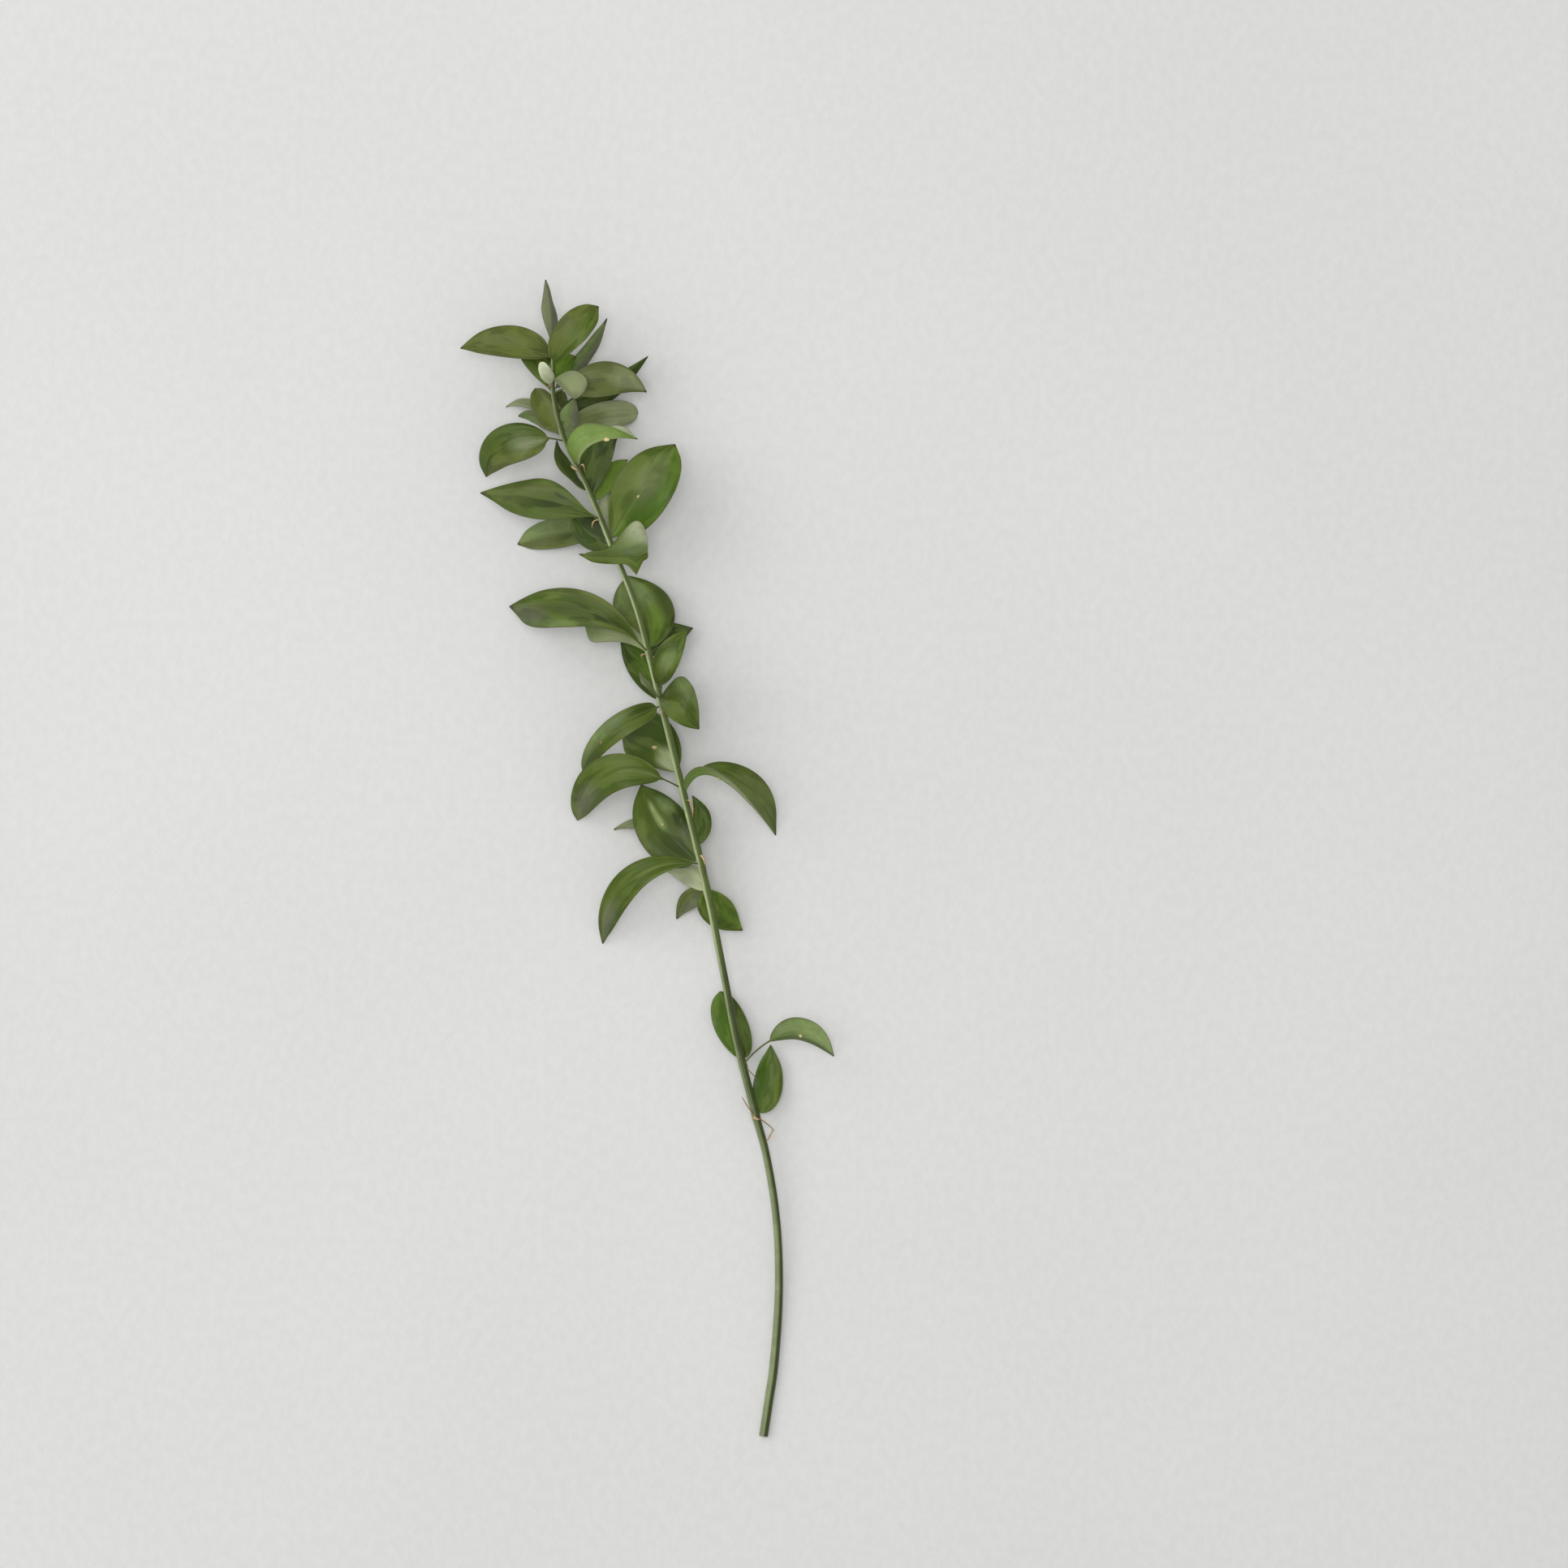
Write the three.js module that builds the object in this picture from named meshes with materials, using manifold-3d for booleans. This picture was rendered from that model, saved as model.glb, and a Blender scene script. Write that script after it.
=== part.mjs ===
// A cut stem of ruscus with its leaves, lying on a flat surface.
// Millimetres, +Z up, +Y towards the tip of the stem. The surface is the plane Z = 0.

import * as THREE from 'three';
import { mergeVertices } from 'three/addons/utils/BufferGeometryUtils.js';
import Module from 'manifold-3d';

const wasm = await Module();
wasm.setup();

// Driving dimensions.
const STEM_SIDES = 8;
const STEM_STEPS = 40;
const BLADE_THICKNESS = 0.8;
const STALK_HALF_WIDTH = 0.55;      // of a leaf's stalk and of its spine
const STALK_SHARE = 0.06;           // of a leaf's length, before the blade widens
const SPINE_LENGTH = 2;             // bare point past the end of the blade
const LONG_SPINE = 3.5;             // from this length up the spine gets a row of its own
const TIP_FULLNESS = 0.75;          // 1 ends in a straight-sided point, 0.4 in a round end
const BLADE_ROWS = [0.08, 0.2, 0.35, 0.5, 0.65, 0.79, 0.92];
const BLADE_COLUMNS = [-1, 0, 1];
const SCALE_RADIUS = 0.55;
const BUD_RADIUS = 1.0;
const LOWEST_TOP_FACE = 0.7;        // a leaf that touches the surface keeps this height

// The stem's centre line: x, y, z and radius, from the cut end to the growing tip.
// The first three points are level, so that the lowest facet lies flat on the surface.
const CUT_END_RADIUS = 2.3;
const REST_HEIGHT = CUT_END_RADIUS * Math.cos(Math.PI / STEM_SIDES);
const STEM_POINTS = [
  [59.8, -300.4, REST_HEIGHT, CUT_END_RADIUS],
  [62.6, -281.8, REST_HEIGHT, CUT_END_RADIUS],
  [65.1, -265, REST_HEIGHT, CUT_END_RADIUS],
  [67.9, -223, 4.2, 2.1],
  [66.4, -185.2, 7.6, 1.95],
  [60.9, -151.6, 10.6, 1.95],
  [56.1, -134, 12.2, 2.1],
  [45.8, -92.8, 15.8, 2.1],
  [39, -57.5, 18.5, 2.1],
  [29.1, -8.6, 21.8, 2],
  [17.9, 36.3, 24.4, 1.8],
  [4.2, 92, 26.6, 1.7],
  [-6.2, 131.3, 27.6, 1.55],
  [-19.2, 163.8, 28.4, 1.5],
  [-31.3, 193, 29.4, 1.3],
  [-38.4, 207, 30.2, 1.25],
  [-44.3, 220.8, 31, 1.2],
  [-48.8, 241.9, 33, 1.05],
  [-48.6, 252.6, 34, 0.95],
  [-49.1, 264.2, 35, 0.8],
];

// The leaves, from the tip of the stem down. joins is the height on the stem (y) where the
// stalk leaves it. middle and tip are on the midrib. Looking from the stem towards the tip,
// left and right are the two halves of the blade: how far it reaches out, how far it rises,
// how far along the blade it is widest and, where they aren't the usual ones, how far it
// slants forward and how full its end is. A half that reaches out less than 0 is folded over.
// over is the direction across a blade that bends back over itself, from right to left.
const LEAVES = [
  { name: 'terminal', joins: 263, middle: [-50.2, 281, 38], tip: [-52.3, 299, 41],
    left: [3.4, 4.5, 0.6], right: [3.2, -4.5, 0.42], fullness: 0.9 },
  { name: 'top_right', joins: 255.5, middle: [-39.4, 272.2, 43], tip: [-25.2, 285.4, 36],
    left: [7.8, -1, 0.5], right: [7.6, 1.6, 0.5], fullness: 0.42 },
  { name: 'top_left', joins: 258.5, middle: [-71.4, 265, 40], tip: [-96.6, 264.2, 30],
    left: [6, 2, 0.5], right: [10.6, -1.6, 0.42] },
  { name: 'top_left_under', joins: 240.5, middle: [-57, 256.5, 26], tip: [-62.5, 272, 24],
    left: [6.8, 1, 0.75, 0, 0.4], right: [7.5, -1, 0.5] },
  { name: 'top_right_edge', joins: 242.5, middle: [-34.5, 254, 22], tip: [-21, 279.8, 28],
    left: [3.4, 5, 0.5], right: [3, -5, 0.55], spine: 4 },
  { name: 'small_bright', joins: 246.5, middle: [-44.4, 254.8, 38], tip: [-37, 260, 34],
    left: [5.8, -2, 0.5], right: [4.5, 1, 0.55], fullness: 0.4 },
  { name: 'right_broad', joins: 241, middle: [-22.5, 246.8, 38], tip: [-0.7, 242, 22],
    left: [10.2, -1.6, 0.5], right: [8, 1.6, 0.38, 0, 1.1], stalk: 0.12, fullness: 0.65 },
  { name: 'right_behind', joins: 231.5, middle: [-24, 243.2, 17], tip: [0, 261, 18],
    left: [6, 0, 0.5], right: [8.5, 1, 0.6], fullness: 1, spine: 4 },
  { name: 'pale_left', joins: 246, middle: [-52.6, 250.4, 47], tip: [-54.3, 256.2, 50],
    left: [2.8, 3, 0.5], right: [2.8, -3, 0.5], fullness: 0.4, spine: 0.5 },
  { name: 'pale_front', joins: 248.5, middle: [-41.4, 242.4, 52], tip: [-37.1, 236.8, 49],
    left: [11, -5, 0.5, 1.5], right: [1.2, 5, 0.5], fullness: 0.5 },
  { name: 'left_upright', joins: 221, middle: [-51.5, 231.5, 28], tip: [-58.3, 243.8, 24],
    left: [6.5, 1, 0.5], right: [6.5, -0.5, 0.5], fullness: 0.45, spine: 0.5 },
  { name: 'left_thin_high', joins: 219.5, middle: [-59.5, 235.2, 13], tip: [-74, 235, 3],
    left: [2.4, 8, 0.5], right: [2.6, -6, 0.5], spine: 3 },
  { name: 'left_thin_low', joins: 218, middle: [-56.5, 228.6, 14], tip: [-67.8, 230.6, 6],
    left: [3, -5, 0.5], right: [3.2, 5, 0.5] },
  { name: 'upright_behind', joins: 222.5, middle: [-45.4, 234.5, 18], tip: [-45.6, 243.5, 17],
    left: [3.6, 1, 0.5], right: [3.6, -1, 0.5], fullness: 0.4, spine: 0.5 },
  { name: 'upright_right', joins: 213.5, middle: [-40.3, 226.5, 29], tip: [-37.4, 238.6, 30],
    left: [5.6, 1.5, 0.55], right: [4.6, -1, 0.45] },
  { name: 'left_heart', joins: 216, middle: [-70.5, 215.5, 38], tip: [-83.8, 198.4, 16],
    left: [11.2, 1.6, 0.38], right: [9.4, -1.6, 0.52], stalk: 0.14, fullness: 0.6 },
  { name: 'right_blunt', joins: 221, middle: [-25.6, 229.5, 20], tip: [-5.5, 232.5, 0.3],
    left: [6.8, -1, 0.6], right: [7, 0.5, 0.66], fullness: 0.4, spine: 0.5 },
  { name: 'front_bright', joins: 202.5, middle: [-27, 214.4, 50], tip: [-4.8, 216.6, 46],
    left: [11.4, 4, 0.35, 1, 1.4], right: [-7, -7, 0.7, 5, 1.2], bud: 0.62 },
  { name: 'under_bright', joins: 186.5, middle: [-26.3, 205, 25], tip: [-15, 220, 26],
    left: [9, -1.5, 0.6, 0, 0.5], right: [6.4, 1.5, 0.5] },
  { name: 'left_edge', joins: 189.5, middle: [-42.6, 202.6, 22], tip: [-47.2, 217, 20],
    left: [2.6, 6, 0.5], right: [3, -5, 0.5] },
  { name: 'small_right', joins: 183.5, middle: [-20.3, 198.6, 19], tip: [-10.4, 207.2, 16],
    left: [4.4, 0.5, 0.5], right: [5.5, -0.5, 0.5] },
  { name: 'left_long_high', joins: 175, middle: [-53, 186.3, 34], tip: [-87.2, 190.3, 8],
    left: [11, 1.4, 0.6], right: [11.4, -1.4, 0.36, 0, 1.1], spine: 5 },
  { name: 'left_short', joins: 170, middle: [-45, 169.8, 8.5], tip: [-68.2, 163.8, 0.3],
    left: [7.4, 0.6, 0.52], right: [7.6, -0.6, 0.58], fullness: 0.45, spine: 3 },
  { name: 'left_tucked', joins: 160, middle: [-29.2, 168, 26], tip: [-38.2, 177.4, 28],
    left: [7, 0.6, 0.5], right: [8, -0.6, 0.5], fullness: 0.5, spine: 0.5 },
  { name: 'front_saddle', joins: 163.5, middle: [-0.3, 159, 48], tip: [-35, 156.6, 46],
    left: [15.2, -4, 0.66, 0, 3.5], right: [9, -3, 0.64, 0, 1.2], over: [0, 1, 0] },
  { name: 'right_largest', joins: 164.5, middle: [-2.4, 190.4, 42], tip: [14.3, 214.4, 34],
    left: [17, -2, 0.54], right: [14.8, 2.4, 0.48], fullness: 0.5, bud: 0.46 },
  { name: 'pale_behind', joins: 164.5, middle: [-21.8, 178, 14], tip: [-22.3, 191.8, 12],
    left: [5.6, 1, 0.5], right: [6.6, -1, 0.5], fullness: 0.4, spine: 0.5 },
  { name: 'left_long_middle', joins: 106.5, middle: [-31, 128.4, 40], tip: [-72, 131.2, 10],
    left: [10.2, 2, 0.74], right: [9.2, -1.8, 0.58], stalk: 0.1, fullness: 0.5 },
  { name: 'left_pale_under', joins: 105.5, middle: [-15.5, 117.8, 18], tip: [-32.4, 120.6, 10],
    left: [3.4, 0.5, 0.6], right: [5.6, -0.5, 0.5], fullness: 0.4, spine: 0.5 },
  { name: 'left_under', joins: 80.5, middle: [-3, 98.4, 14], tip: [-14.4, 114, 10],
    left: [6.6, 0.6, 0.5], right: [7, -0.6, 0.5] },
  { name: 'broad_behind', joins: 105, middle: [-0.6, 128, 18], tip: [-11, 147.2, 8],
    left: [14.2, 1.6, 0.62, 0, 0.45], right: [13.8, -1.6, 0.42, 0, 1.1], stalk: 0.1, spine: 0.5 },
  { name: 'right_point', joins: 104.5, middle: [9.3, 113.2, 20], tip: [23.3, 120, 14],
    left: [9, -0.6, 0.6], right: [7, 0.6, 0.5], fullness: 0.8, spine: 4 },
  { name: 'right_upright', joins: 88, middle: [11.4, 103.6, 46], tip: [20.8, 118.6, 44],
    left: [9.8, 0, 0.5], right: [5.6, 2, 0.42] },
  { name: 'front_twisted', joins: 83.5, middle: [14.4, 77.2, 52], tip: [26.8, 67.4, 46],
    left: [16, -3, 0.42, -3.5], right: [4.4, -4, 0.5], fullness: 0.6 },
  { name: 'pale_edge', joins: 83, middle: [0.4, 89.8, 42], tip: [-4, 96.4, 44],
    left: [1, 4, 0.5], right: [1, -4, 0.5], fullness: 0.5, spine: 0.5 },
  { name: 'left_drooping', joins: 80.5, middle: [-19.2, 67, 34], tip: [-33.6, 44.5, 8],
    left: [6, 1.2, 0.5], right: [6.4, -1.2, 0.5], fullness: 0.5, bud: 0.62 },
  { name: 'round_behind', joins: 43, middle: [4.6, 57.6, 14], tip: [-13.6, 64, 6],
    left: [11.6, 1, 0.66, 0, 0.35], right: [13.4, -1, 0.48], fullness: 0.5, spine: 1, bud: 0.52 },
  { name: 'left_sickle', joins: 36.5, middle: [-17, 44.8, 36], tip: [-36.8, 20.2, 4],
    left: [9.2, 1.2, 0.5], right: [10, -1.2, 0.55], stalk: 0.14, fullness: 0.55, spine: 1 },
  { name: 'right_arch', joins: 32, middle: [35.6, 42.6, 42], tip: [66.2, 12.4, 0.4],
    left: [5, 9, 0.3, 0, 0.9], right: [-13.5, -3, 0.75, 0, 0.8], bud: 0.52 },
  { name: 'right_sliver', joins: 6, middle: [28.4, 19, 22], tip: [23, 33, 20],
    left: [4.6, 1, 0.45], right: [4.4, -1, 0.55] },
  { name: 'left_thin_middle', joins: -4, middle: [5, 16.6, 9], tip: [-18, 15.2, 4],
    left: [2.6, 5, 0.64], right: [2.8, -4, 0.64], spine: 3 },
  { name: 'left_broad_low', joins: -3, middle: [9.2, 15.8, 18], tip: [-3.3, 38.8, 26],
    left: [14.6, 1.4, 0.44], right: [13, -1.4, 0.5], fullness: 0.65, bud: 0.55 },
  { name: 'left_long_low', joins: -3, middle: [-7.8, -10.8, 32], tip: [-23.8, -44, 0.3],
    left: [7.8, 1.2, 0.5], right: [7.8, -1.2, 0.52], spine: 3, fullness: 0.6 },
  { name: 'left_pale_low', joins: -17.5, middle: [20.8, -8.3, 14], tip: [8.2, -5.6, 10],
    left: [4.6, 0.5, 0.45], right: [5.4, -0.5, 0.45] },
  { name: 'left_curl_low', joins: -18, middle: [21.4, -21.6, 8], tip: [14.7, -31.3, 1.4],
    left: [4.6, 0.5, 0.4], right: [5, -0.5, 0.45], spine: 3 },
  { name: 'right_low', joins: -15, middle: [37.4, -26.4, 14], tip: [49, -37, 6],
    left: [7, 0.5, 0.5], right: [7.4, -0.5, 0.48] },
  { name: 'low_behind', joins: -106.5, middle: [44.4, -87.8, 7], tip: [37.3, -68.8, 5],
    left: [9.4, 0.8, 0.6], right: [7, -0.8, 0.55], fullness: 0.5, spine: 0.5 },
  { name: 'low_arch_right', joins: -107, middle: [73, -90.4, 34], tip: [96.4, -102.6, 0.4],
    left: [8.8, 0, 0.5], right: [2.4, -5, 0.5], stalk: 0.3, bud: 0.62 },
  { name: 'lowest', joins: -133.6, middle: [61.6, -115.6, 8], tip: [63.6, -96.6, 6],
    left: [6.4, 0.8, 0.5], right: [6.4, -0.8, 0.5] },
];

// The dry scales at the leaf joints: the height on the stem (y), then a bend and the end.
const SCALES = [
  { joins: -134, bend: [65, -139.4, 15], end: [61.4, -147, 12] },
  { joins: -133, bend: [52.6, -129.4, 16], end: [48.8, -123.4, 14] },
  { joins: 2.5, bend: [29.4, 0.4, 25], end: [31.2, -5.6, 23] },
  { joins: 30.5, bend: [22.8, 29, 29], end: [23.2, 22.4, 26] },
  { joins: 78, bend: [7.6, 77.4, 30], end: [8, 73.6, 29] },
  { joins: 105.6, bend: [-3, 105.8, 30], end: [-2, 103.4, 29.4] },
  { joins: 175.2, bend: [-27.6, 174.8, 32], end: [-28.6, 171.4, 31] },
  { joins: 201.6, bend: [-33.4, 204, 33.4], end: [-32.4, 200.2, 32] },
  { joins: 200.8, bend: [-38.2, 202.2, 32.6], end: [-39.4, 203.6, 32] },
  { joins: 244.6, bend: [-50.4, 245, 35], end: [-51, 243.4, 34.6] },
];

const colours = {
  leaf: 0x566b34,
};

// The stem's centre line and radius at any height.
const stemCurve = new THREE.CatmullRomCurve3(
  STEM_POINTS.map(([x, y, z]) => new THREE.Vector3(x, y, z)), false, 'centripetal');
const stemSamples = stemCurve.getPoints(900);

function stemCentre(y) {
  return stemSamples.find((point) => point.y >= y).clone();
}

function stemRadius(y) {
  const above = Math.max(1, STEM_POINTS.findIndex((point) => point[1] >= y));
  const [low, high] = [STEM_POINTS[above - 1], STEM_POINTS[above]];
  const share = THREE.MathUtils.clamp((y - low[1]) / (high[1] - low[1]), 0, 1);
  return THREE.MathUtils.lerp(low[3], high[3], share);
}

// A closed mesh as a manifold solid, with shared vertices merged.
function solid(positions, triangles) {
  const loose = new THREE.BufferGeometry();
  loose.setAttribute('position', new THREE.Float32BufferAttribute(positions, 3));
  loose.setIndex(triangles);
  const merged = mergeVertices(loose, 1e-4);
  return new wasm.Manifold(new wasm.Mesh({
    numProp: 3,
    vertProperties: new Float32Array(merged.attributes.position.array),
    triVerts: new Uint32Array(merged.index.array),
  }));
}

// A tapered rod through rings of points, closed with a flat fan at each end.
function rod(rings) {
  const sides = rings[0].length;
  const positions = rings.flat().flatMap((point) => point.toArray());
  const triangles = [];
  for (let ring = 0; ring < rings.length - 1; ring += 1) {
    for (let side = 0; side < sides; side += 1) {
      const a = ring * sides + side;
      const b = ring * sides + (side + 1) % sides;
      triangles.push(a, b + sides, b, a, a + sides, b + sides);
    }
  }
  const last = (rings.length - 1) * sides;
  for (let side = 1; side < sides - 1; side += 1) {
    triangles.push(0, side, side + 1, last, last + side + 1, last + side);
  }
  return solid(positions, triangles);
}

// A ring of points round a centre, with a flat at its lowest side.
function ringAt(centre, direction, radius, sides) {
  const across = new THREE.Vector3(direction.y, -direction.x, 0).normalize();
  const up = new THREE.Vector3().crossVectors(across, direction).normalize();
  const points = [];
  for (let side = 0; side < sides; side += 1) {
    const angle = (2 * Math.PI * (side + 0.5)) / sides - Math.PI / 2;
    points.push(centre.clone()
      .addScaledVector(across, radius * Math.cos(angle))
      .addScaledVector(up, radius * Math.sin(angle)));
  }
  return points;
}

function makeStem() {
  const level = STEM_POINTS.slice(0, 3).map(([x, y, z]) => new THREE.Vector3(x, y, z));
  const rings = level.slice(0, 2).map((point, index) => {
    const ahead = level[index + 1].clone().sub(point).normalize();
    return ringAt(point, ahead, CUT_END_RADIUS, STEM_SIDES);
  });
  const start = STEM_POINTS[2][1];
  const end = STEM_POINTS.at(-1)[1];
  for (let step = 0; step <= STEM_STEPS; step += 1) {
    const y = THREE.MathUtils.lerp(start, end, step / STEM_STEPS);
    const index = Math.max(1, stemSamples.findIndex((point) => point.y >= y - 1e-6));
    const ahead = stemSamples[index].clone().sub(stemSamples[index - 1]).normalize();
    if (step === 0) ahead.setZ(0).normalize();
    const centre = step === 0 ? level[2] : stemCentre(y - 1e-6);
    rings.push(ringAt(centre, ahead, stemRadius(y), STEM_SIDES));
  }
  return rod(rings);
}

// The control point of a quadratic curve whose middle is at the given place.
function controlThrough(start, middle, end) {
  return new THREE.Vector3(...middle).multiplyScalar(2)
    .addScaledVector(start, -0.5).addScaledVector(end, -0.5);
}

// The share of a half blade's full reach at a place along it, from base (0) to tip (1).
function reach(place, widest, fullness) {
  if (place <= 0 || place >= 1) return 0;
  const rise = (fullness * widest) / (1 - widest);
  const shape = (s) => s ** rise * (1 - s) ** fullness;
  return shape(place) / shape(widest);
}

// One row of points across a leaf at a share of its length.
function leafRow(leaf, base, control, share, place) {
  const tip = new THREE.Vector3(...leaf.tip);
  const on = new THREE.QuadraticBezierCurve3(base, control, tip);
  const rib = on.getPoint(share);
  const ahead = on.getTangent(share).setZ(0).normalize();
  const leftward = new THREE.Vector3(...(leaf.over ?? [-ahead.y, ahead.x, 0]));
  const upward = new THREE.Vector3(0, 0, 1);
  const reachOf = ([out, rise, , slant = 0], side) => new THREE.Vector3()
    .addScaledVector(leftward, out * side)
    .addScaledVector(upward, rise)
    .addScaledVector(ahead, slant);
  const leftHalf = reachOf(leaf.left, 1);
  const rightHalf = reachOf(leaf.right, -1);
  const apart = leftHalf.clone().sub(rightHalf).normalize();
  return BLADE_COLUMNS.map((column) => {
    const [half, towards] = column < 0 ? [leaf.right, rightHalf] : [leaf.left, leftHalf];
    const out = Math.abs(column) * reach(place, half[2], half[4] ?? leaf.fullness ?? TIP_FULLNESS);
    return rib.clone().addScaledVector(apart, column * STALK_HALF_WIDTH).addScaledVector(towards, out);
  });
}

function leafFrame(leaf) {
  const base = stemCentre(leaf.joins);
  const tip = new THREE.Vector3(...leaf.tip);
  const control = controlThrough(base, leaf.middle, tip);
  const length = new THREE.QuadraticBezierCurve3(base, control, tip).getLength();
  return { base, control, length };
}

// The thin closed blade through rows of points, alike on both faces.
function makeLeaf(leaf) {
  const { base, control, length } = leafFrame(leaf);
  const spine = leaf.spine ?? SPINE_LENGTH;
  const from = leaf.stalk ?? STALK_SHARE;
  const to = 1 - spine / length;
  const row = (share) => leafRow(leaf, base, control, share, (share - from) / (to - from));
  const shares = [0];
  if (leaf.stalk) shares.push(from);
  BLADE_ROWS.forEach((place) => shares.push(from + place * (to - from)));
  if (spine >= LONG_SPINE) shares.push(to);
  shares.push(1);
  return sheet(shares.map(row));
}

function sheet(rows) {
  const across = rows[0].length;
  const at = (row, column) => rows[THREE.MathUtils.clamp(row, 0, rows.length - 1)][
    THREE.MathUtils.clamp(column, 0, across - 1)];
  const faces = [[], []];
  rows.forEach((points, row) => points.forEach((point, column) => {
    const along = at(row + 1, column).clone().sub(at(row - 1, column));
    const over = at(row, column + 1).clone().sub(at(row, column - 1));
    const normal = over.cross(along).normalize().multiplyScalar(BLADE_THICKNESS / 2);
    const upper = point.clone().add(normal);
    const under = point.clone().sub(normal);
    const [high, low] = upper.z > under.z ? [upper, under] : [under, upper];
    high.z = Math.max(high.z, LOWEST_TOP_FACE);
    low.z = Math.max(low.z, 0);
    faces[0].push(upper);
    faces[1].push(under);
  }));
  const count = faces[0].length;
  const triangles = [];
  const quad = (a, b, c, d) => triangles.push(a, b, c, a, c, d);
  for (let row = 0; row < rows.length - 1; row += 1) {
    for (let column = 0; column < across - 1; column += 1) {
      const a = row * across + column;
      triangles.push(a, a + 1, a + across + 1, a, a + across + 1, a + across);
      triangles.push(count + a, count + a + across + 1, count + a + 1);
      triangles.push(count + a, count + a + across, count + a + across + 1);
    }
    const left = row * across;
    const right = left + across - 1;
    quad(left, left + across, count + left + across, count + left);
    quad(right + across, right, count + right, count + right + across);
  }
  const end = (rows.length - 1) * across;
  for (let column = 0; column < across - 1; column += 1) {
    quad(column + 1, column, count + column, count + column + 1);
    quad(end + column, end + column + 1, count + end + column + 1, count + end + column);
  }
  return solid(faces.flat().flatMap((point) => point.toArray()), triangles);
}

function makeScale(scale) {
  const base = stemCentre(scale.joins);
  const end = new THREE.Vector3(...scale.end);
  const curve = new THREE.QuadraticBezierCurve3(base, controlThrough(base, scale.bend, end), end);
  const rings = [0, 0.35, 0.7, 1].map((share) => {
    const radius = SCALE_RADIUS * (1 - 0.4 * share);
    return ringAt(curve.getPoint(share), curve.getTangent(share), radius, 4);
  });
  return rod(rings);
}

// A flower bud, a small rounded knob half sunk in the middle of the upper face.
function makeBud(leaf) {
  const { base, control } = leafFrame(leaf);
  const curve = new THREE.QuadraticBezierCurve3(base, control, new THREE.Vector3(...leaf.tip));
  const centre = curve.getPoint(leaf.bud).add(new THREE.Vector3(0, 0, BUD_RADIUS * 0.4));
  const knob = new THREE.IcosahedronGeometry(BUD_RADIUS, 0);
  knob.deleteAttribute('normal');
  knob.deleteAttribute('uv');
  knob.translate(centre.x, centre.y, centre.z);
  const merged = mergeVertices(knob, 1e-4);
  return solid([...merged.attributes.position.array], [...merged.index.array]);
}

function makeLeafyStem() {
  const pieces = [
    ...LEAVES.map(makeLeaf),
    ...SCALES.map(makeScale),
    ...LEAVES.filter((leaf) => leaf.bud).map(makeBud),
  ];
  const joined = pieces.reduce((whole, piece) => whole.add(piece), makeStem()).getMesh();
  const geometry = new THREE.BufferGeometry();
  geometry.setAttribute('position', new THREE.BufferAttribute(joined.vertProperties, 3));
  geometry.setIndex(new THREE.BufferAttribute(joined.triVerts, 1));
  geometry.computeVertexNormals();
  const material = new THREE.MeshStandardMaterial({
    color: colours.leaf, roughness: 0.45, metalness: 0 });
  const mesh = new THREE.Mesh(geometry, material);
  mesh.name = 'leafy_stem';
  return mesh;
}

const part = new THREE.Group();
const leafyStem = makeLeafyStem();
leafyStem.geometry.computeBoundingBox();
const middle = leafyStem.geometry.boundingBox.getCenter(new THREE.Vector3());
leafyStem.position.set(-middle.x, -middle.y, 0);
part.add(leafyStem);

export default part;
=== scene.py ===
"""A cut stem of broad-leaved ruscus with its leaves, lying on a pale table.

Laid out as an add-on: sizes and colours are properties, and each kind of piece has its operator.
The tables below are in millimetres. Y runs from the cut end towards the growing tip, Z is up.
"""

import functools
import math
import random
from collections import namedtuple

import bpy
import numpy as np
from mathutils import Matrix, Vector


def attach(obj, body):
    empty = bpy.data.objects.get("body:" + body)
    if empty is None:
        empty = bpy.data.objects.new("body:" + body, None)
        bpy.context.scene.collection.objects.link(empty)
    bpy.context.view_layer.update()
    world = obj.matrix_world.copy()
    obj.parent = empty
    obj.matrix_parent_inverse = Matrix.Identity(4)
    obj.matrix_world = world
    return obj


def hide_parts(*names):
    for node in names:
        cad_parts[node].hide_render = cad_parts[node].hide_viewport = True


bl_info = {
    "name": "Ruscus Stem",
    "version": (1, 0, 0),
    "blender": (4, 5, 0),
    "location": "View3D > Sidebar > Ruscus",
    "description": "Grows a leafy stem of ruscus piece by piece and lays it on a pale table",
    "category": "Object",
}

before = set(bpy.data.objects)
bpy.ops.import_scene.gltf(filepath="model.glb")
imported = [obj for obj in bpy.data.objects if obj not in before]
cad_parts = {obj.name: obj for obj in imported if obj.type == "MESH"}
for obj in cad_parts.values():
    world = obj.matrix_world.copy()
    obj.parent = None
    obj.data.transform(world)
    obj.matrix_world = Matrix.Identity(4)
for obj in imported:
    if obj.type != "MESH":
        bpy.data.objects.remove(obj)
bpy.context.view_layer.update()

MM = 0.001
NODE = "leafy_stem"
PART_SHIFT = Vector((0.002, 0.833, 0.0))    # sets the middle of the part over the origin
REST_HEIGHT = 2.125                         # of the stem's centre line where it lies on the table

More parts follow.
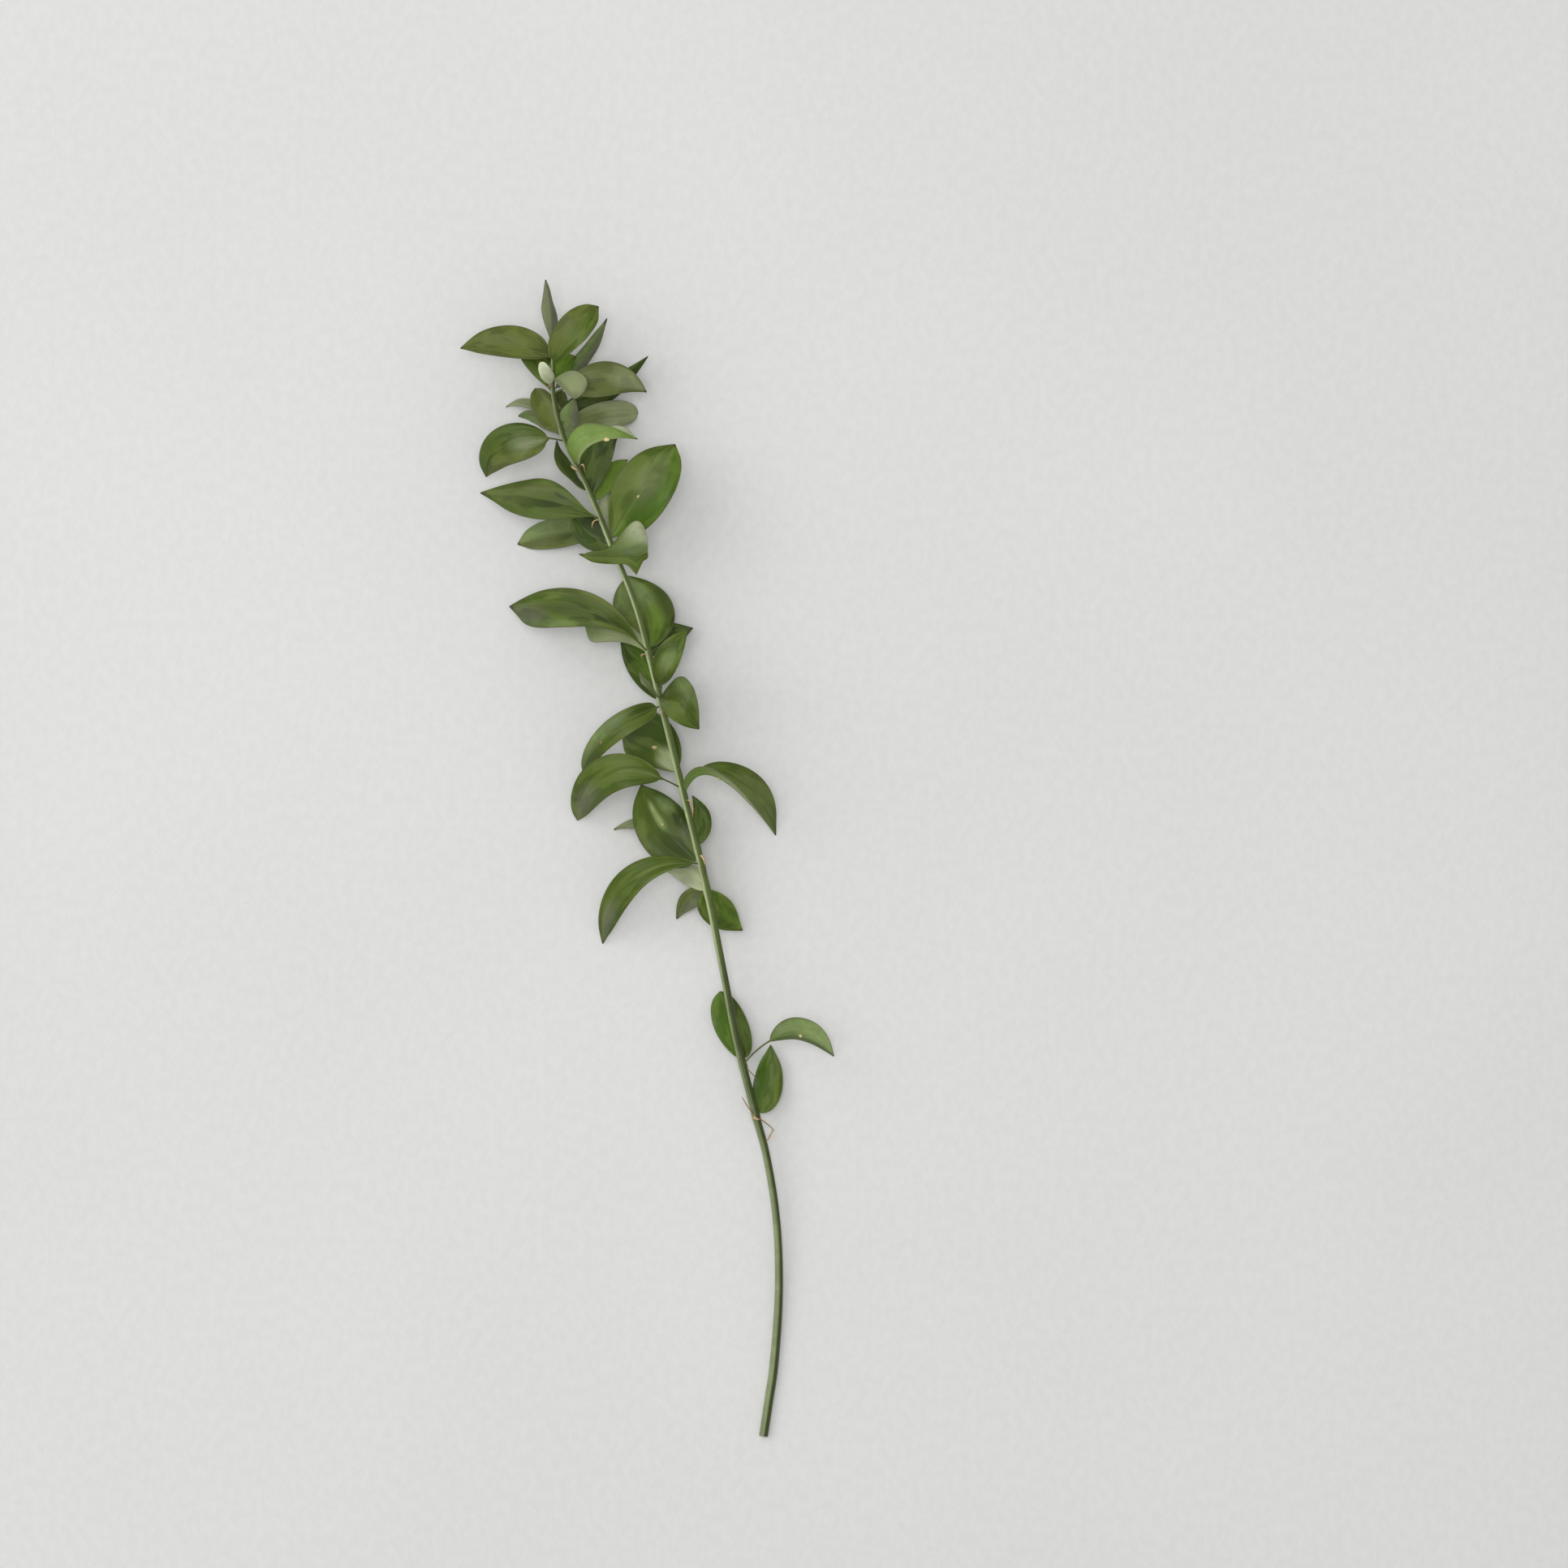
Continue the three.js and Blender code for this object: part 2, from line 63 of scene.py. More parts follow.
# The stem's centre line from the cut end to the growing tip: x, y, z and radius.
STEM_POINTS = [
    (59.8, -300.34, REST_HEIGHT, 2.3), (62.6, -281.8, REST_HEIGHT, 2.3),
    (65.1, -265, REST_HEIGHT, 2.3), (67.9, -223, 4.2, 2.1), (66.4, -185.2, 7.6, 1.95),
    (60.9, -151.6, 10.6, 1.95), (56.1, -134, 12.2, 2.1), (45.8, -92.8, 15.8, 2),
    (39, -57.5, 18.5, 1.87), (29.1, -8.6, 21.8, 1.87), (17.9, 36.3, 24.4, 1.8),
    (4.2, 92, 26.6, 1.7), (-6.2, 131.3, 27.6, 1.55), (-19.2, 163.8, 28.4, 1.5),
    (-31.3, 193, 29.4, 1.3), (-38.4, 207, 30.2, 1.25), (-44.3, 220.8, 31, 1.2),
    (-48.8, 241.9, 33, 1.05), (-48.6, 252.6, 34, 0.95), (-49.1, 264.2, 35, 0.8),
]

# joins is the height on the stem where a leaf's stalk leaves it; middle and tip are on its midrib.
# left and right are the halves of the blade: how far each reaches out, how far it rises and, where
# they aren't the usual ones, how far along it is widest, how far it slants forward and how full
# its end is. A half that reaches out less than 0 is folded over. tones are the greens of the two
# halves, or the one green of both. fullness is 1 for a straight-sided point, 0.4 for a round end
# and over 2 for a hollow one. stalk is the share of the length before the blade widens, and spine
# the bare point past its end. over is the direction across of a blade that is folded back over
# itself. corner is a bump of the right margin: its place along the leaf, how much further the
# half reaches there, and half the bump's length.
# The greens named in tones are partly the leaves' own and partly painted light: a half that catches the
# light or shows sheen is given a paler or greyer green, a half in shade a deeper one.
Leaf = namedtuple("Leaf", "name joins middle tip left right tones fullness stalk spine over corner",
                  defaults=(0.75, 0.06, 2.0, None, None))
USUAL_WIDEST = 0.5
HOLLOW = 2                  # a half that is fuller than this has a hollow end

# The leaves, from the tip of the stem down.
LEAVES = [
    Leaf("terminal", 263, (-50.2, 281, 38), (-52.3, 299, 41), (3.4, 4.5, 0.6), (3.2, -4.5, 0.42),
         "sage dusty", fullness=0.9),
    Leaf("top_right", 255.5, (-39.4, 272.2, 43), (-25.2, 285.4, 36), (7.8, -1), (8.4, 1.6, 0.6),
         "olive leaf", fullness=0.42),
    Leaf("top_left", 258.5, (-71.4, 265, 40), (-96.6, 264.2, 30), (6, 2), (10.6, -1.6, 0.42), "olive"),
    Leaf("top_left_under", 240.5, (-57, 256.5, 26), (-62.5, 272, 24), (6.8, 1, 0.75, 0, 0.4), (7.5, -1),
         "leaf deep"),
    Leaf("top_right_edge", 242.5, (-34.4, 257.4, 22), (-21, 279.8, 28), (4.4, 3), (3, -5, 0.55),
         "soft dusty", spine=4),
    Leaf("small_bright", 246.5, (-44.4, 254.8, 30), (-37, 260, 28), (5.8, -2), (4.5, 1, 0.55),
         "fresh lime", fullness=0.4),
    Leaf("right_broad", 241, (-22.5, 246.8, 38), (-0.7, 242, 22), (10.2, -1.6, 0.5, 0, 0.85),
         (8, 1.6, 0.38, 0, 1.1), "grey", stalk=0.12, spine=3),
    Leaf("right_behind", 231.5, (-24, 243.2, 11), (0, 261, 14), (4.4, 0, 0.4), (6.6, 1), "deep shade",
         fullness=1, spine=4),
    Leaf("pale_left", 246, (-52, 250.2, 47), (-54.3, 256.2, 50), (2.8, -2), (3.4, 3, 0.42), "young_pale",
         fullness=0.45, spine=0.5),
    Leaf("pale_front", 248.5, (-41.4, 242.4, 52), (-37.1, 236.8, 49), (11, -5, 0.5, 1.5), (1.2, 5),
         "sage", fullness=0.5),
    Leaf("left_upright", 221, (-51.5, 231.5, 28), (-58.3, 243.8, 24), (6.5, 1), (6.5, -0.5), "olive grey",
         fullness=0.45, spine=0.5),
    Leaf("left_thin_high", 219.5, (-59.5, 235.2, 14.5), (-74, 235, 6), (2.4, 8), (2.6, -6), "sage",
         spine=3),
    Leaf("left_thin_low", 218, (-56.5, 228.6, 9), (-67.8, 230.6, 2), (3, -5), (3.2, 5), "soft"),
    Leaf("upright_behind", 222.5, (-45.4, 234.5, 18), (-45.6, 243.5, 17), (3.6, 1), (3.6, -1), "grey",
         fullness=0.4, spine=0.5),
    Leaf("upright_right", 213.5, (-40.3, 226.5, 29), (-37.4, 238.6, 30), (5.6, 1.5, 0.55),
         (4.6, -1, 0.45), "soft dusty"),
    Leaf("left_heart", 216, (-70.5, 215.5, 38), (-83.8, 198.4, 16), (11.2, 1.6, 0.38), (9.4, -1.6, 0.52),
         "olive deep", fullness=0.6, stalk=0.14),
    Leaf("right_blunt", 221, (-25.6, 229.5, 20), (-5.5, 232.5, 0.3), (6.8, -1, 0.6), (7, 0.5, 0.66),
         "sage", fullness=0.4, spine=0.5),
    Leaf("front_bright", 202.5, (-27, 214.4, 50), (-4.8, 216.6, 46), (11.4, 4, 0.35, 1, 1.4),
         (-7, -7, 0.7, 5, 1.2), "fresh pale_sage"),
    Leaf("under_bright", 186.5, (-26.3, 205, 25), (-15, 220, 26), (9, -1.5, 0.6, 0, 0.5), (6.4, 1.5),
         "deep shade"),
    Leaf("left_edge", 189.5, (-42.6, 202.6, 22), (-47.2, 217, 20), (2.6, 6), (3, -5), "leaf deep"),
    Leaf("small_right", 183.5, (-20.3, 198.6, 19), (-10.4, 207.2, 16), (4.4, 0.5), (5.5, -0.5), "fresh"),
    Leaf("left_long_high", 175, (-53, 186.3, 34), (-87.2, 190.3, 8), (11, 1.4, 0.6),
         (9.9, -1.4, 0.53, 0, 1.9), "deep leaf", spine=5),
    Leaf("left_short", 170, (-45, 169.8, 8.5), (-68.2, 163.8, 0.3), (7.4, 0.6, 0.52), (7.6, -0.6, 0.58),
         "grey soft", fullness=0.45, spine=3),
    Leaf("left_tucked", 160, (-29.2, 168, 26), (-38.2, 177.4, 28), (7, 0.6), (8, -0.6), "deep shade",
         fullness=0.5, spine=0.5),
    Leaf("front_saddle", 163.5, (-0.3, 159, 48), (-35, 157.4, 46), (16.2, -4, 0.66, 0, 3.5),
         (5.2, -1.5, 0.8, 0, 0.3), "leaf", over=(0, 1, 0), corner=(0.66, 1.3, 0.1)),
    Leaf("right_largest", 164.5, (-2.4, 190.4, 42), (14.3, 214.4, 34), (14.6, -2, 0.52, 0, 0.72),
         (14.8, 2.4, 0.48), "leaf lime", fullness=0.5),
    Leaf("pale_behind", 164.5, (-20.4, 178, 14), (-21, 191.8, 12), (5.6, 1), (6.6, -1), "pale_sage sage",
         fullness=0.4, spine=0.5),
    Leaf("left_long_middle", 106.5, (-31, 128.4, 40), (-72, 131.2, 10), (12.4, 2, 0.8, 0, 0.35),
         (9.2, -1.8, 0.56, 0, 0.8), "leaf", stalk=0.1, spine=4),
    Leaf("left_pale_under", 105.5, (-15.5, 117.8, 25), (-32.4, 120.6, 15), (8, 0.5, 0.82, 0, 0.3),
         (5.6, -0.5), "sage", fullness=0.4, spine=0.5),
    Leaf("left_under", 80.5, (-3, 98.4, 14), (-14.4, 114, 10), (6.6, 0.6), (7, -0.6), "deep lime"),
    Leaf("broad_behind", 105, (-0.6, 128, 16), (-11, 147.2, 8), (15.4, 1.6, 0.62, 0, 0.45),
         (13.8, -1.6, 0.42, 0, 1.1), "olive leaf", stalk=0.1, spine=0.5),
    Leaf("right_point", 104.5, (9.3, 113.2, 13), (23.3, 120, 10), (9, -0.6, 0.6), (7, 0.6), "deep shade",
         fullness=0.8, spine=4),
    Leaf("right_upright", 88, (11.4, 103.6, 46), (20.8, 118.6, 44), (7.2, 0), (5.6, 2, 0.42), "leaf"),
    Leaf("front_twisted", 83.5, (14.4, 77.2, 52), (26.8, 67.4, 46), (16, -3, 0.42, -3.5), (4.4, -4),
         "leaf", fullness=0.6),
    Leaf("pale_edge", 83, (0.4, 89.8, 42), (-4, 96.4, 44), (1, 4), (1, -4), "sage", fullness=0.5,
         spine=0.5),
    Leaf("left_drooping", 78.5, (-19.2, 65.4, 34), (-33.6, 44.5, 8), (6, 1.2, 0.35, 0, 0.6),
         (5.8, -1.2, 0.4, 0, 0.5), "leaf", stalk=0.05),
    Leaf("round_behind", 43, (4.6, 57.6, 14), (-13.6, 64, 6), (11.6, 1, 0.66, 0, 0.35),
         (16, -1, 0.72, 0, 0.35), "leaf deep", spine=1),
    Leaf("left_sickle", 36.5, (-17, 44.8, 36), (-36.8, 20.2, 4), (9.2, 1.2), (10, -1.2, 0.55), "leaf",
         fullness=0.55, stalk=0.14, spine=1),
    Leaf("right_arch", 32, (35.6, 42.6, 42), (66.2, 12.4, 0.4), (4.2, 9, 0.22, 0, 1.4),
         (-13.5, -3, 0.75, 0, 0.8), "pale_sage leaf"),
    Leaf("right_sliver", 6, (28.4, 19, 22), (23, 33, 20), (4.6, 1, 0.45), (4.4, -1, 0.55), "deep"),
    Leaf("left_thin_middle", -4, (5, 16.6, 9), (-18, 15.2, 4), (2.6, 5, 0.64), (2.8, -4, 0.64), "sage",
         spine=3),
    Leaf("left_broad_low", -3, (9.2, 15.8, 18), (-3.3, 38.8, 26), (14.6, 1.4, 0.44), (13, -1.4),
         "leaf deep", fullness=0.65),
    Leaf("left_long_low", -3, (-7.8, -10.8, 32), (-23.8, -44, 0.3), (6.6, 1.2, 0.62), (7.2, -1.2, 0.52),
         "leaf", fullness=0.6, spine=3),
    Leaf("left_pale_low", -17.5, (20.8, -8.3, 14), (8.2, -5.6, 10), (4.6, 0.5, 0.45), (5.4, -0.5, 0.45),
         "pale_sage"),
    Leaf("left_curl_low", -18, (21.4, -21.6, 8), (14.7, -31.3, 1.4), (4.6, 0.5, 0.4), (5, -0.5, 0.45),
         "dusty grey", spine=3),
    Leaf("right_low", -15, (37.4, -26.4, 14), (49, -37, 6), (7, 0.5), (9.4, -0.5, 0.4), "fresh leaf"),
    Leaf("low_behind", -106.5, (44.4, -87.8, 7), (37.3, -68.8, 5), (9.4, 0.8, 0.6), (7.6, -0.8, 0.42),
         "lime deep", fullness=0.5, spine=0.5),
    Leaf("low_arch_right", -107, (73, -90.4, 34), (96.4, -102.6, 0.4), (8.8, 0, 0.48, 0, 0.85), (2.4, -5),
         "leaf", stalk=0.3),
    Leaf("lowest", -133.6, (61.6, -115.6, 8), (63.6, -96.6, 6), (6.4, 0.8), (8.5, -0.8, 0.38, 0, 0.8),
         "lime leaf"),
]

# Broad soft patches of another green on some leaves, partly their own tone and partly painted light:
# the pale, grey, soft and dusty patches are painted sheen and highlights, the shade patches painted
# shade. Each gives tone, place across (-1 right margin, 1 left margin), place along, half width,
# half length, strength.
PATCHES = {
    "top_left": [("grey", 0.4, 0.12, 0.5, 0.2, 0.5)],
    "right_broad": [("sage", 0.2, 0.8, 1.0, 0.4, 0.7)],
    "right_blunt": [("grey", 0.0, 0.25, 1.2, 0.5, 0.8)],
    "front_bright": [("bright_sage", 0.4, 0.5, 1.0, 0.6, 0.5)],
    "left_heart": [("soft", 0.2, 0.25, 0.6, 0.35, 0.7), ("sage", 0.3, 0.2, 0.35, 0.25, 0.8)],
    "left_long_high": [("grey", 0.0, 0.85, 0.9, 0.3, 0.8), ("grey", -0.45, 0.5, 0.5, 0.3, 0.9),
        ("shade", 0.0, 0.32, 0.9, 0.4, 0.9)],
    "left_short": [("deep", 0.4, 0.3, 0.5, 0.4, 0.6)],
    "right_largest": [("soft", 0.0, 0.7, 0.7, 0.35, 0.6), ("grey", -0.1, 0.62, 0.5, 0.4, 0.7)],
    "front_saddle": [("soft", 0.4, 0.45, 0.8, 0.5, 0.8), ("pale_sage", 0.8, 0.55, 0.7, 0.3, 0.8)],
    "right_upright": [("soft", 0.0, 0.45, 0.8, 0.3, 1.0), ("deep", -0.2, 0.85, 0.9, 0.3, 0.6)],
    "low_arch_right": [("soft", 0.5, 0.5, 0.9, 0.8, 1.0), ("bright_sage", 0.5, 0.7, 0.9, 0.5, 0.7)],
    "left_broad_low": [("soft", -0.6, 0.72, 0.4, 0.2, 0.8), ("shade", 0.1, 0.3, 0.6, 0.3, 0.7),
        ("shade", -0.5, 0.45, 0.5, 0.25, 0.9), ("soft", 0.04, 0.68, 0.2, 0.3, 0.5),
        ("midrib", 0.0, 0.68, 0.07, 0.22, 0.9), ("grey", -0.6, 0.2, 0.5, 0.25, 0.6)],
    "left_sickle": [("dusty", 0.0, 0.88, 0.9, 0.3, 0.8), ("deep", 0.2, 0.12, 1.0, 0.3, 0.8)],
    "left_long_low": [("dusty", 0.0, 0.88, 0.9, 0.25, 0.9), ("deep", 0.1, 0.6, 0.5, 0.3, 0.5)],
    "left_long_middle": [("dusty", 0.4, 0.9, 0.7, 0.2, 0.8), ("grey", -0.8, 0.45, 0.4, 0.5, 0.6),
        ("soft", 0.85, 0.7, 0.3, 0.3, 0.5), ("shade", 0.15, 0.45, 0.6, 0.6, 1.0)],
    "broad_behind": [("soft", 0.5, 0.75, 0.7, 0.5, 0.7), ("soft", -0.2, 0.75, 0.5, 0.4, 1.0),
        ("shade", -0.95, 0.45, 0.6, 0.5, 1.0), ("fresh", -0.25, 0.25, 0.45, 0.4, 0.7)],
    "left_pale_under": [("soft", 0.2, 0.95, 0.9, 0.35, 0.7)],
    "right_arch": [("fresh", 0.6, 0.5, 1.2, 1.2, 0.4), ("fresh", 0.5, 0.1, 1.0, 0.5, 0.9),
        ("grey", -0.5, 0.8, 0.6, 0.3, 0.7)],
    "right_low": [("shade", 0.6, 0.5, 0.7, 0.6, 0.6)],
    "front_twisted": [("soft", 0.9, 0.5, 0.5, 0.5, 0.8)],
    "left_drooping": [("soft", -0.6, 0.6, 0.8, 0.5, 1.0), ("shade", -0.5, 0.1, 0.8, 0.2, 0.6)],
    "round_behind": [("pale_sage", 0.1, 0.1, 0.9, 0.4, 0.9), ("midrib", 0.0, 0.25, 0.05, 0.3, 0.8)],
}

# The flower buds: leaf, place along its midrib, size as a share of the usual one, ripeness from
# green (0) to brown (1).
BUDS = [
    ("right_largest", 0.43, 0.7, 0.1), ("front_bright", 0.66, 1.15, 0.5),
    ("left_drooping", 0.62, 0.75, 1.0), ("round_behind", 0.52, 1.15, 0.7),
    ("right_arch", 0.52, 0.7, 0.15), ("left_broad_low", 0.55, 0.75, 0.3),
    ("low_arch_right", 0.62, 0.8, 0.4),
]

# The dry scales at the leaf joints: where each starts (a height on the stem, or a place), a bend
# and the end, width as a share of the usual one, and how brown it is.
SCALES = [
    (-134, (60.8, -136.6, 14), (65, -140.2, 15), 0.6, 0.7),
    ((65, -140.2, 15), (63.4, -143.2, 14), (61.4, -147, 12), 0.9, 0.1),
    (-133, (52.6, -129.4, 16), (48.8, -123.4, 14), 0.45, 1.0),
    ((54.1, -133.4, 12.9), (56.1, -134.5, 15), (58.1, -135.2, 12.9), 1.8, 0.2),
    (-107.5, (53.4, -110.6, 15), (56.6, -114.6, 13), 0.35, 0.5),
    (2.5, (28.4, 1.2, 25), (29.6, -2.4, 24.5), 1.4, 0.0),
    (30.5, (22.8, 29, 29), (23.2, 22.4, 26), 1.0, 0.1),
    (78, (7.6, 77.4, 30), (8, 73.6, 29), 0.8, 0.4),
    ((-9.4, 66.8, 35.6), (-11.2, 65, 35), (-12.8, 62.6, 33.5), 1.3, 0.0),
    (105.6, (-3, 105.8, 30), (-2, 103.4, 29.4), 1.0, 0.1),
    (175.2, (-27.6, 174.8, 32), (-28.6, 171.4, 31), 1.0, 0.1),
    (201.6, (-33.4, 204, 33.4), (-32.4, 200.2, 32), 1.1, 0.0),
    (200.8, (-38.2, 202.2, 32.6), (-39.4, 203.6, 32), 1.2, 0.0),
    (244.6, (-50.4, 245, 35), (-51, 243.4, 34.6), 1.2, 0.4),
]

STRIPS = 16                 # across a leaf
ROWS = 48                   # along a leaf
STALK_ROWS = 0.1            # share of the rows that the stalk takes
SPINE_ROWS = 0.92           # where the rows of the spine begin
ROWS_GATHERED = 0.65        # how strongly the rows of the blade gather at its ends
STRIPS_GATHERED = 0.8       # less than 1 gathers the strips at the margins
STALK_TAPER = 0.6           # half width of the midrib at the spine, as a share of the stalk's
HOLLOW_STRIP = 0.12         # width of the narrow end of a hollow half, as a share of its reach
LOWEST = 0.75               # height of the middle of a blade over the table, in thicknesses
PATTERN_STEP = 0.37         # from each leaf to the next, so that their veins differ
TONE_BLEND = 0.35           # how far the greens of the two halves run into each other
PATCH_CORE = 0.35           # share of a patch that has its full strength
CORNER_POWER = 1.5          # more than 1 hollows the sides of a margin's corner
WAVE_COUNTS = (2, 3, 5)     # half waves along a blade, each kind lower than the one before
WAVE_FADE = 0.7             # less than 1 carries the waves nearer to the blade's ends

STEM_SIDES = 36
STEM_CUTS = 100             # in each half of the stem
STEM_RIBS = 9
RIB_WANDER = (1.2, 9)       # how far the ribs wander to the sides, and how often
SKIN_LENGTH = 4             # of the stem, in the units of its skin's pattern
JOINT_LENGTH = 2.2          # of the swelling on each side of a joint
TIP_LENGTH = 0.3            # how much of the growing tip is closed by one face

# Steps from the rim of the cut to its middle: size as a share of the ring before, and how far
# each stands out.
CUT_STEPS = ((0.96, 0.02), (0.82, 0.0), (0.7, -0.03), (0.6, -0.02), (0.4, 0.0))

SCALE_THICKNESS = 0.2
SCALE_TILT = 0.35           # how steeply a scale stands across
SCALE_CUP = 0.25            # how far its margins turn up
SCALE_TAPER = 0.5           # share of its width that it loses towards its end

BUD_LENGTH = 1.25           # in radii, as the next three are
BUD_BASE = 1.05
BUD_TAPER = 0.5
BUD_LIFT = 0.6              # of its middle over the midrib
BUD_LOBES = 0.14            # depth of its three lobes
BUD_LEAN = (0.9, 0.7)       # shares of the leaf's direction and of upwards in the bud's own

TABLE_DROP = 0.2            # under the part, so that their faces don't meet
ROOM_WHITE = (1.0, 0.995, 0.985, 1.0)


def paint(hex_colour):
    """A colour as people write it on screens, as the linear values that the shaders use."""
    def linear(channel):
        value = channel / 255
        return value / 12.92 if value <= 0.04045 else ((value + 0.055) / 1.055) ** 2.4
    return tuple(linear(hex_colour >> shift & 255) for shift in (16, 8, 0))


def colour_prop(name, description, hex_colour):
    return bpy.props.FloatVectorProperty(
        name=name, description=description, subtype="COLOR", size=3, min=0.0, max=1.0,
        default=paint(hex_colour))


def number_prop(name, description, default, **limits):
    return bpy.props.FloatProperty(name=name, description=description, default=default, **limits)


def length_prop(name, description, default):
    return number_prop(name, description, default, subtype="DISTANCE", unit="LENGTH", min=0.0)


def share_prop(name, description, default):
    return number_prop(name, description, default, subtype="FACTOR", min=0.0, max=1.0)


class RuscusStemSettings(bpy.types.PropertyGroup):
    """Sizes and colours of the stem, its cut end, scales and buds."""
    rib_depth: share_prop("Rib depth", "Depth of the fine ribs, as a share of the radius", 0.02)
    joint_swelling: share_prop("Joint swelling", "How much the stem swells where leaves join", 0.12)
    scale_width: length_prop("Scale width", "Width of a dry scale at the stem", 0.001)
    bud_radius: length_prop("Bud radius", "Radius of a flower bud", 0.0011)
    skin: colour_prop("Skin", "Main green of the stem", 0x74824E)
    # The lit side and shaded side are painted light and painted shade on the stem's skin; the shaded
    # side's green also dots the fibres of the cut end.
    painted_lit_skin: colour_prop("Lit side", "Pale green of the stem's lit side", 0xB6C492)
    painted_shade_and_fibre: colour_prop("Shaded side", "Deep green of the stem's shaded side", 0x54622C)
    pith: colour_prop("Pith", "Middle of the cut end", 0xD5D9B0)
    dry: colour_prop("Dry scale", "Straw colour of the scales", 0xE6CFA4)
    dry_dark: colour_prop("Dry scale, dark", "Brown of the scales' bases and rims", 0x94714A)
    bud_cream: colour_prop("Bud", "Cream of the bud's tip", 0xEBD9A2)
    bud_green: colour_prop("Bud base", "Green of the bud's base", 0xB9B870)


class RuscusLeafSettings(bpy.types.PropertyGroup):
    """Sizes of the leaves and the greens that they are made of."""
    thickness: length_prop("Thickness", "Thickness of a blade", 0.00042)
    stalk_half: length_prop("Half stalk", "Half the width of a leaf's stalk", 0.0004)
    spine_half: length_prop("Half spine", "Half the width of the spine at its end", 0.0002)
    arch: share_prop("Arch", "How far each half blade arches, as a share of its width", 0.084)
    wave: length_prop("Wave", "Height of the slow waves along the margins", 0.0006)
    # Several of these greens are painted light: soft, grey and dusty partly stand for sheen, pale sage and
    # bright sage for leaves in full light, and shade green for shade on leaves that lie under others.
    shade: colour_prop("Shade green", "Darkest leaves, low on the stem", 0x34460E)
    deep: colour_prop("Deep green", "Dark glossy leaves", 0x405612)
    leaf: colour_prop("Leaf green", "Most of the leaves", 0x526620)
    fresh: colour_prop("Fresh green", "Young leaves in full light", 0x6E8E2E)
    lime: colour_prop("Lime green", "Thin leaves that let light through", 0x4C6C12)
    olive: colour_prop("Olive green", "Older, duller leaves", 0x5C682A)
    soft: colour_prop("Soft green", "Leaves with a soft pale sheen", 0x7A8E55)
    dusty: colour_prop("Dusty green", "Leaves with the thickest bloom", 0x6E7458)
    grey: colour_prop("Grey green", "Leaves with a dull waxy bloom", 0x646F3A)
    sage: colour_prop("Sage", "Pale undersides", 0x96A076)
    pale_sage: colour_prop("Pale sage", "Palest undersides, in full light", 0xBCC49E)
    young_pale: colour_prop("Young pale", "Youngest leaf, paler than the others", 0xD6DEBC)
    bright_sage: colour_prop("Bright sage", "Fresh leaves that turn up to the light", 0xA4BE74)
    midrib: colour_prop("Midrib", "Lines that run together at the stalk", 0xA3B376)
    margin: colour_prop("Margin", "Thin line along the edge of the blade", 0x5A5440)
    spine: colour_prop("Spine", "Dried point at the end of the blade", 0x4A3B2C)


class RuscusStageSettings(bpy.types.PropertyGroup):
    """The table, the light and the camera."""
    table_colour: colour_prop("Table", "Pale painted table top", 0xE8E8E7)
    table_size: length_prop("Table size", "Side of the table top", 8.0)
    view_height: length_prop("View height", "Height of the camera over the table", 4.0)
    view_x: number_prop("View X", "Sideways place of the camera", 0.07056, unit="LENGTH")
    view_y: number_prop("View Y", "Lengthwise place of the camera", 0.03989, unit="LENGTH")
    focal_length: number_prop("Focal length", "Focal length of the camera in millimetres", 176.35, min=1.0)
    key_power: number_prop("Key light", "Power of the large light on the upper left", 30.0,
                      unit="POWER", min=0.0)
    fill_power: number_prop("Fill light", "Power of the light overhead", 37.0, unit="POWER", min=0.0)
    sky: share_prop("Room light", "Brightness of the light from all round", 0.44)


# Selection and objects.

def deselect_all():
    if bpy.context.object and bpy.context.object.mode != "OBJECT":
        bpy.ops.object.mode_set(mode="OBJECT")
    bpy.ops.object.select_all(action="DESELECT")


def activate(piece):
    deselect_all()
    piece.select_set(True)
    bpy.context.view_layer.objects.active = piece


def select_parts(piece, kind, parts):
    """Goes into edit mode with nothing selected but these edges or vertices of the piece."""
    activate(piece)
    bpy.ops.object.mode_set(mode="EDIT")
    bpy.ops.mesh.select_mode(type=kind)
    bpy.ops.mesh.select_all(action="DESELECT")
    bpy.ops.object.mode_set(mode="OBJECT")
    for part in parts():
        part.select = True
    bpy.ops.object.mode_set(mode="EDIT")


def add_new(name, add, **sizes):
    """Adds an object with one of Blender's operators and names it."""
    deselect_all()
    add(**sizes)
    piece = bpy.context.object
    piece.name = piece.data.name = name
    return piece


def remove(piece):
    mesh = piece.data
    bpy.data.objects.remove(piece)
    bpy.data.meshes.remove(mesh)


def apply_solidify(piece, thickness, **settings):
    """Gives a sheet its thickness, half of it on each side."""
    activate(piece)
    modifier = piece.modifiers.new("Thickness", "SOLIDIFY")
    for name, value in dict(settings, thickness=thickness, offset=0).items():
        setattr(modifier, name, value)
    bpy.ops.object.modifier_apply(modifier=modifier.name)


def finish_piece(piece, smooth_angle=60):
    """Smooths a piece and fastens it to the part."""
    activate(piece)
    bpy.ops.object.transform_apply(location=True, rotation=True, scale=True)
    bpy.ops.object.shade_smooth_by_angle(angle=math.radians(smooth_angle))
    deselect_all()
    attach(piece, "root")
    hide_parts(NODE)


def points_of(piece):
    return np.array([vertex.co[:] for vertex in piece.data.vertices])


def place_points(piece, points):
    """Moves the points of a piece to these places, given in millimetres."""
    places = (points + np.array(PART_SHIFT)) * MM
    piece.data.vertices.foreach_set("co", np.ascontiguousarray(places, dtype=np.float32).ravel())
    piece.data.update()


def keep_attribute(piece, name, values):
    """Stores a number, place or colour for each point, for the material to read."""
    values = np.array(values, dtype=np.float32)
    kind, field = {1: ("FLOAT", "value"), 3: ("FLOAT_VECTOR", "vector"),
                   4: ("FLOAT_COLOR", "color")}[values.size // len(values)]
    attribute = piece.data.attributes.new(name, kind, "POINT")
    attribute.data.foreach_set(field, values.ravel())


